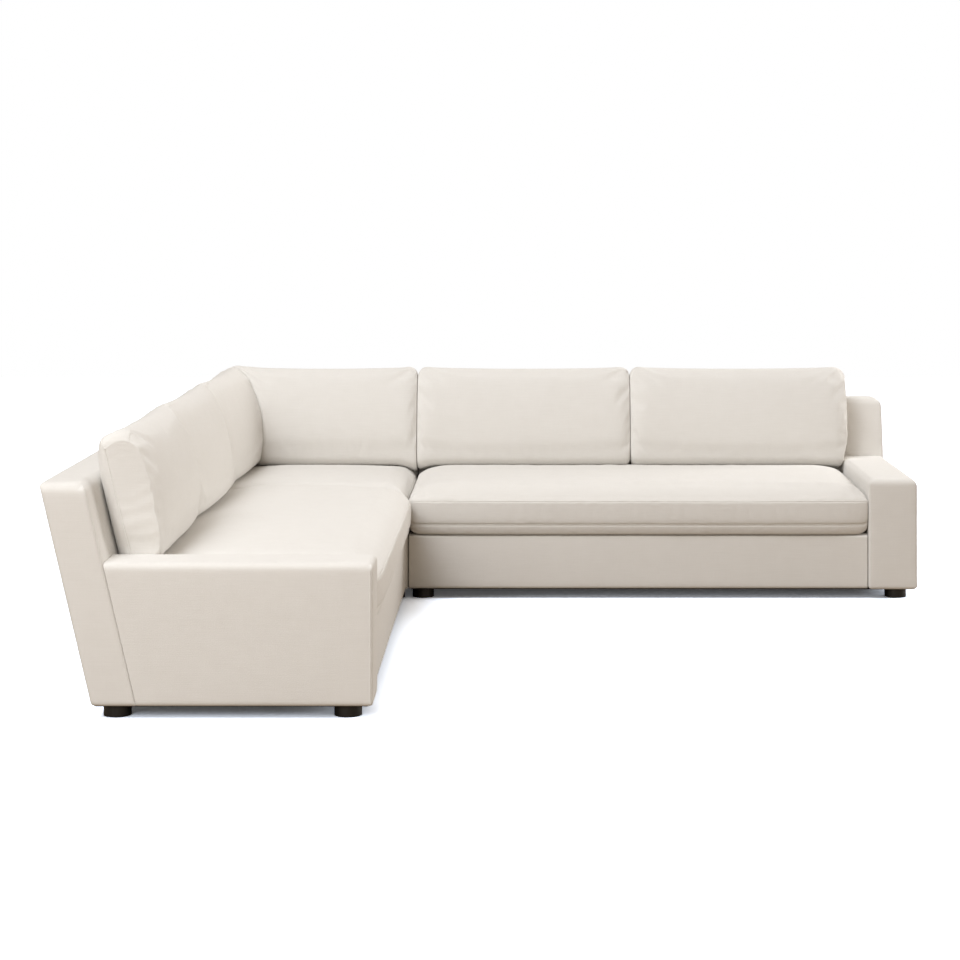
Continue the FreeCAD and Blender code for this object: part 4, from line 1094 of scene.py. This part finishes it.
def back_cushion(start, high, seed, barrel, foot_sag, mitred=False, over_arm=0.0):
    """A loose cushion from a start, which may be the corner's plane, to a place along the sofa. Its front
    falls back by the barrel's depth from its middle to its ends, except at the arm, and its foot sags at
    each end by its own depth. Above the arm it may lean over it."""
    length = high - start(back_face(MIDDLE_HEIGHT), MIDDLE_HEIGHT)
    near_steps = MITRED_END_STEPS if mitred else CUSHION_END_STEPS
    long_cuts = spaced(length, near_steps, CUSHION_END_STEPS, CUSHION_PITCH)
    bm = grid_cube(long_cuts, CUSHION_DEEP_CUTS, CUSHION_TALL_CUTS)
    marked(bm, back_seam)
    for vert in bm.verts:
        u, v, w = vert.co
        a, b = (v + 1) / 2, (w + 1) / 2
        low = start(*up_the_rake(CUSHION_FOOT, b * FRONT_TOP.y))
        x = low + (u + 1) / 2 * (high - low)
        far, near = high - x, x - low
        distance = far if mitred else min(far, near)
        full = ellipse(distance, CUSHION_END_RUN)
        forward, rise = cushion_section(a, b, full)
        top_corner = 1 - ellipse(far if mitred else distance, CUSHION_TOP_CORNER)
        if mitred:
            top_corner += MITRE_TOP["drop"] * (1 - ellipse(near, MITRE_TOP["run"]))
            belly = MITRE_BELLY["forward"] * (1 - ellipse(near, MITRE_BELLY["run"]))
            forward += belly * (1 - a) * 4 * b * (1 - b)
            rise += MITRE_FOOT["lift"] * (1 - ellipse(near, MITRE_FOOT["run"])) * (1 - b) ** 2
        rise -= CUSHION_TOP_CORNER * top_corner * b**3
        rise += CUSHION_FOOT_CORNER * (1 - ellipse(distance, CUSHION_FOOT_CORNER)) * (1 - b) ** 2
        rise -= CUSHION_SAG * (1 - abs(u) ** 2.5) * b * b
        for room, sag in zip((near, far), foot_sag, strict=True):
            rise -= sag * (1 - ellipse(room, FOOT_SAG_RUN)) * (1 - b) ** 2
        uneven = lumps(x, rise, seed, **FILL_LUMPS)
        uneven += lumps(x, rise, seed + 3, **CLOTH_LUMPS)
        from_middle = (1 + u) / 2 if mitred else abs(u) * (u < 0 or not over_arm)
        forward += (uneven * full - barrel * from_middle**2) * (1 - a)
        y, z = up_the_rake(forward, rise)
        low = start(y, z)
        x = low + (u + 1) / 2 * (high - low)
        above = limited((z - ARM_TOP - OVER_ARM_FROM) / OVER_ARM_RISE)
        x += over_arm * above * max(0.0, 1 - far / OVER_ARM_RUN) ** 2
        vert.co = (x, y, z)
    return bm


# %% Back cushions
CUSHION_SPAN = (ARM_INSIDE + INNER) / 2
KINDS = {
    "inner": {"over_arm": 0.0, "foot_sag": (0.032, 0.0)},
    "outer": {"over_arm": 0.018, "foot_sag": (0.0, 0.012)},
    "corner": {"mitred": True, "foot_sag": (0.0, 0.046)},
}
SEED_STEP, CORNER_SEED_STEP = 5.3, 17.0

for side, seed, barrel in (("right", 2.4, 0.0), ("left", 9.9, 0.034)):
    for n, kind in enumerate(("inner", "outer")):
        low = CUSHION_SPAN * n - INNER
        first, last = low + END_GAP, low + CUSHION_SPAN - END_GAP
        bm = back_cushion(fixed(first), last, seed + n * SEED_STEP, barrel=barrel, **KINDS[kind])
        cushion(bm, f"{side}_{kind}_back_cushion", side, f"{side}_{kind}_back", **BACK_MAKING)
    last, corner_seed = -INNER - END_GAP, seed + CORNER_SEED_STEP
    bm = back_cushion(corner_plane, last, corner_seed, barrel=barrel, **KINDS["corner"])
    cushion(bm, f"corner_{side}_back_cushion", side, f"corner_{side}_back", **BACK_MAKING)

# %% [markdown]
# ## The feet and what is inside
#
# The feet are turned wood under a thin satin black paint, through which the end of the grain just
# shows. The rest is hidden until a cushion or a unit is lifted: planed softwood, woven elastic straps,
# cut foam, thin black cloth below, and zinc plated steel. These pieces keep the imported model's own
# shapes, so each only gets a finish. Their patterns follow the place in the sofa, in metres.


# %% Softwood
RINGS = 42
FINE_GRAIN = 6


def timber_finish(name, grain):
    """Softwood whose grain runs along the axis, or the two axes, that its noise hardly changes along."""
    finish = plain_finish(name, Roughness=0.62)
    place = place_on(finish)
    broad = noise_of(finish, place, grain, detail=4.0)
    fine = noise_of(finish, place, [FINE_GRAIN * each for each in grain], detail=2.0)
    rings = (broad * RINGS).sine() * 0.5 + 0.5
    coloured(finish, (0.44, 0.27, 0.13), (0.70, 0.52, 0.32), rings * 0.55 + fine * 0.45)
    bumped(finish, rings * 0.4 + fine, depth=0.0006, strength=0.5)
    return finish.owner


rail_timber = timber_finish("rail_timber", (1.2, 1.2, 24))
post_timber = timber_finish("post_timber", (24, 24, 1.2))


# %% Straps, thin black cloth and foam
def crossing(finish, place, threads_per_metre):
    """The small bumps of threads that cross, from -1 to 1, on faces that look along any axis."""
    first, second, third = parts_of(finish, stretched(finish, place, (threads_per_metre * math.pi,) * 3))
    return (first + third).sine() * (second - third).sine()


def woven_finish(name, dark, light, threads_per_metre, roughness):
    """A coarse weave, a little worn."""
    finish = plain_finish(name, Roughness=roughness)
    place = place_on(finish)
    threads = crossing(finish, place, threads_per_metre)
    worn = noise_of(finish, place, (30, 30, 30))
    coloured(finish, dark, light, threads * 0.35 + worn * 0.5 + 0.25)
    bumped(finish, threads * 0.5 + worn * 0.4, depth=0.0006, strength=0.7)
    return finish.owner


strap_cloth = woven_finish(
    "strap_cloth", dark=(0.16, 0.12, 0.08), light=(0.42, 0.33, 0.22), threads_per_metre=420, roughness=0.8
)
dust_cloth = woven_finish(
    "dust_cloth", dark=(0.006,) * 3, light=(0.030, 0.029, 0.028), threads_per_metre=700, roughness=0.95
)

CELLS_PER_METRE = 420.0
foam = plain_finish("seat_foam", Roughness=0.95)
foam_place = place_on(foam)
cells = foam.node("ShaderNodeTexVoronoi", {"Vector": foam_place, "Scale": CELLS_PER_METRE})
patches = noise_of(foam, foam_place, (5, 5, 5))
coloured(foam, (0.66, 0.56, 0.36), (0.90, 0.84, 0.66), cells * 0.5 + patches * 0.6)
bumped(foam, cells, depth=0.0012, strength=0.6)

# %% Black paint and plated steel
black_paint = plain_finish("black_paint", Coat_Weight=0.15, Coat_Roughness=0.3)
paint_place = place_on(black_paint)
paint_grain = noise_of(black_paint, paint_place, (90, 90, 9), detail=4.0)
scuffs = noise_of(black_paint, paint_place, (35, 35, 120), detail=2.0)
coloured(black_paint, (0.0040, 0.0040, 0.0040), (0.013, 0.0125, 0.012), paint_grain * 0.7 + scuffs * 0.3)
black_paint.feed("Principled BSDF", "Roughness", scuffs * 0.25 + 0.30)
bumped(black_paint, paint_grain, depth=0.0004, strength=0.5)

SPANGLES_PER_METRE = 160.0
plated_steel = plain_finish("plated_steel", Metallic=1.0)
steel_place = place_on(plated_steel)
spangle = plated_steel.node("ShaderNodeTexVoronoi", {"Vector": steel_place, "Scale": SPANGLES_PER_METRE})
rolling = noise_of(plated_steel, steel_place, (12, 260, 260), detail=2.0)
coloured(plated_steel, (0.46, 0.47, 0.48), (0.66, 0.66, 0.65), spangle * 0.5 + rolling * 0.5)
plated_steel.feed("Principled BSDF", "Roughness", rolling * 0.3 + 0.22)
bumped(plated_steel, rolling, depth=0.0002, strength=0.4)

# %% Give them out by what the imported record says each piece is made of
FINISH_OF = {
    "webbing": strap_cloth,
    "dust_cloth": dust_cloth,
    "foam": foam.owner,
    "foot_black": black_paint.owner,
    "steel": plated_steel.owner,
    "cover_fabric": welt_cloth,
}
given = 0
for subpart in frame["record"]["subparts"]:
    node, kind = subpart["node"], subpart["material_slot"]
    if kind == "timber":
        chosen = rail_timber if node.endswith("seat_frame") else post_timber
    else:
        chosen = FINISH_OF[kind]
    for place in frame["nodes"][node].material_slots:
        place.material = chosen
        given += 1
print(given, "finishes given out")

# %% Compare the dressed model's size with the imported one, and end
low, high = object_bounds()
print("grown by", [round(v * 1000, 1) for v in (*(cad_low - low), *(high - cad_high))], "mm")
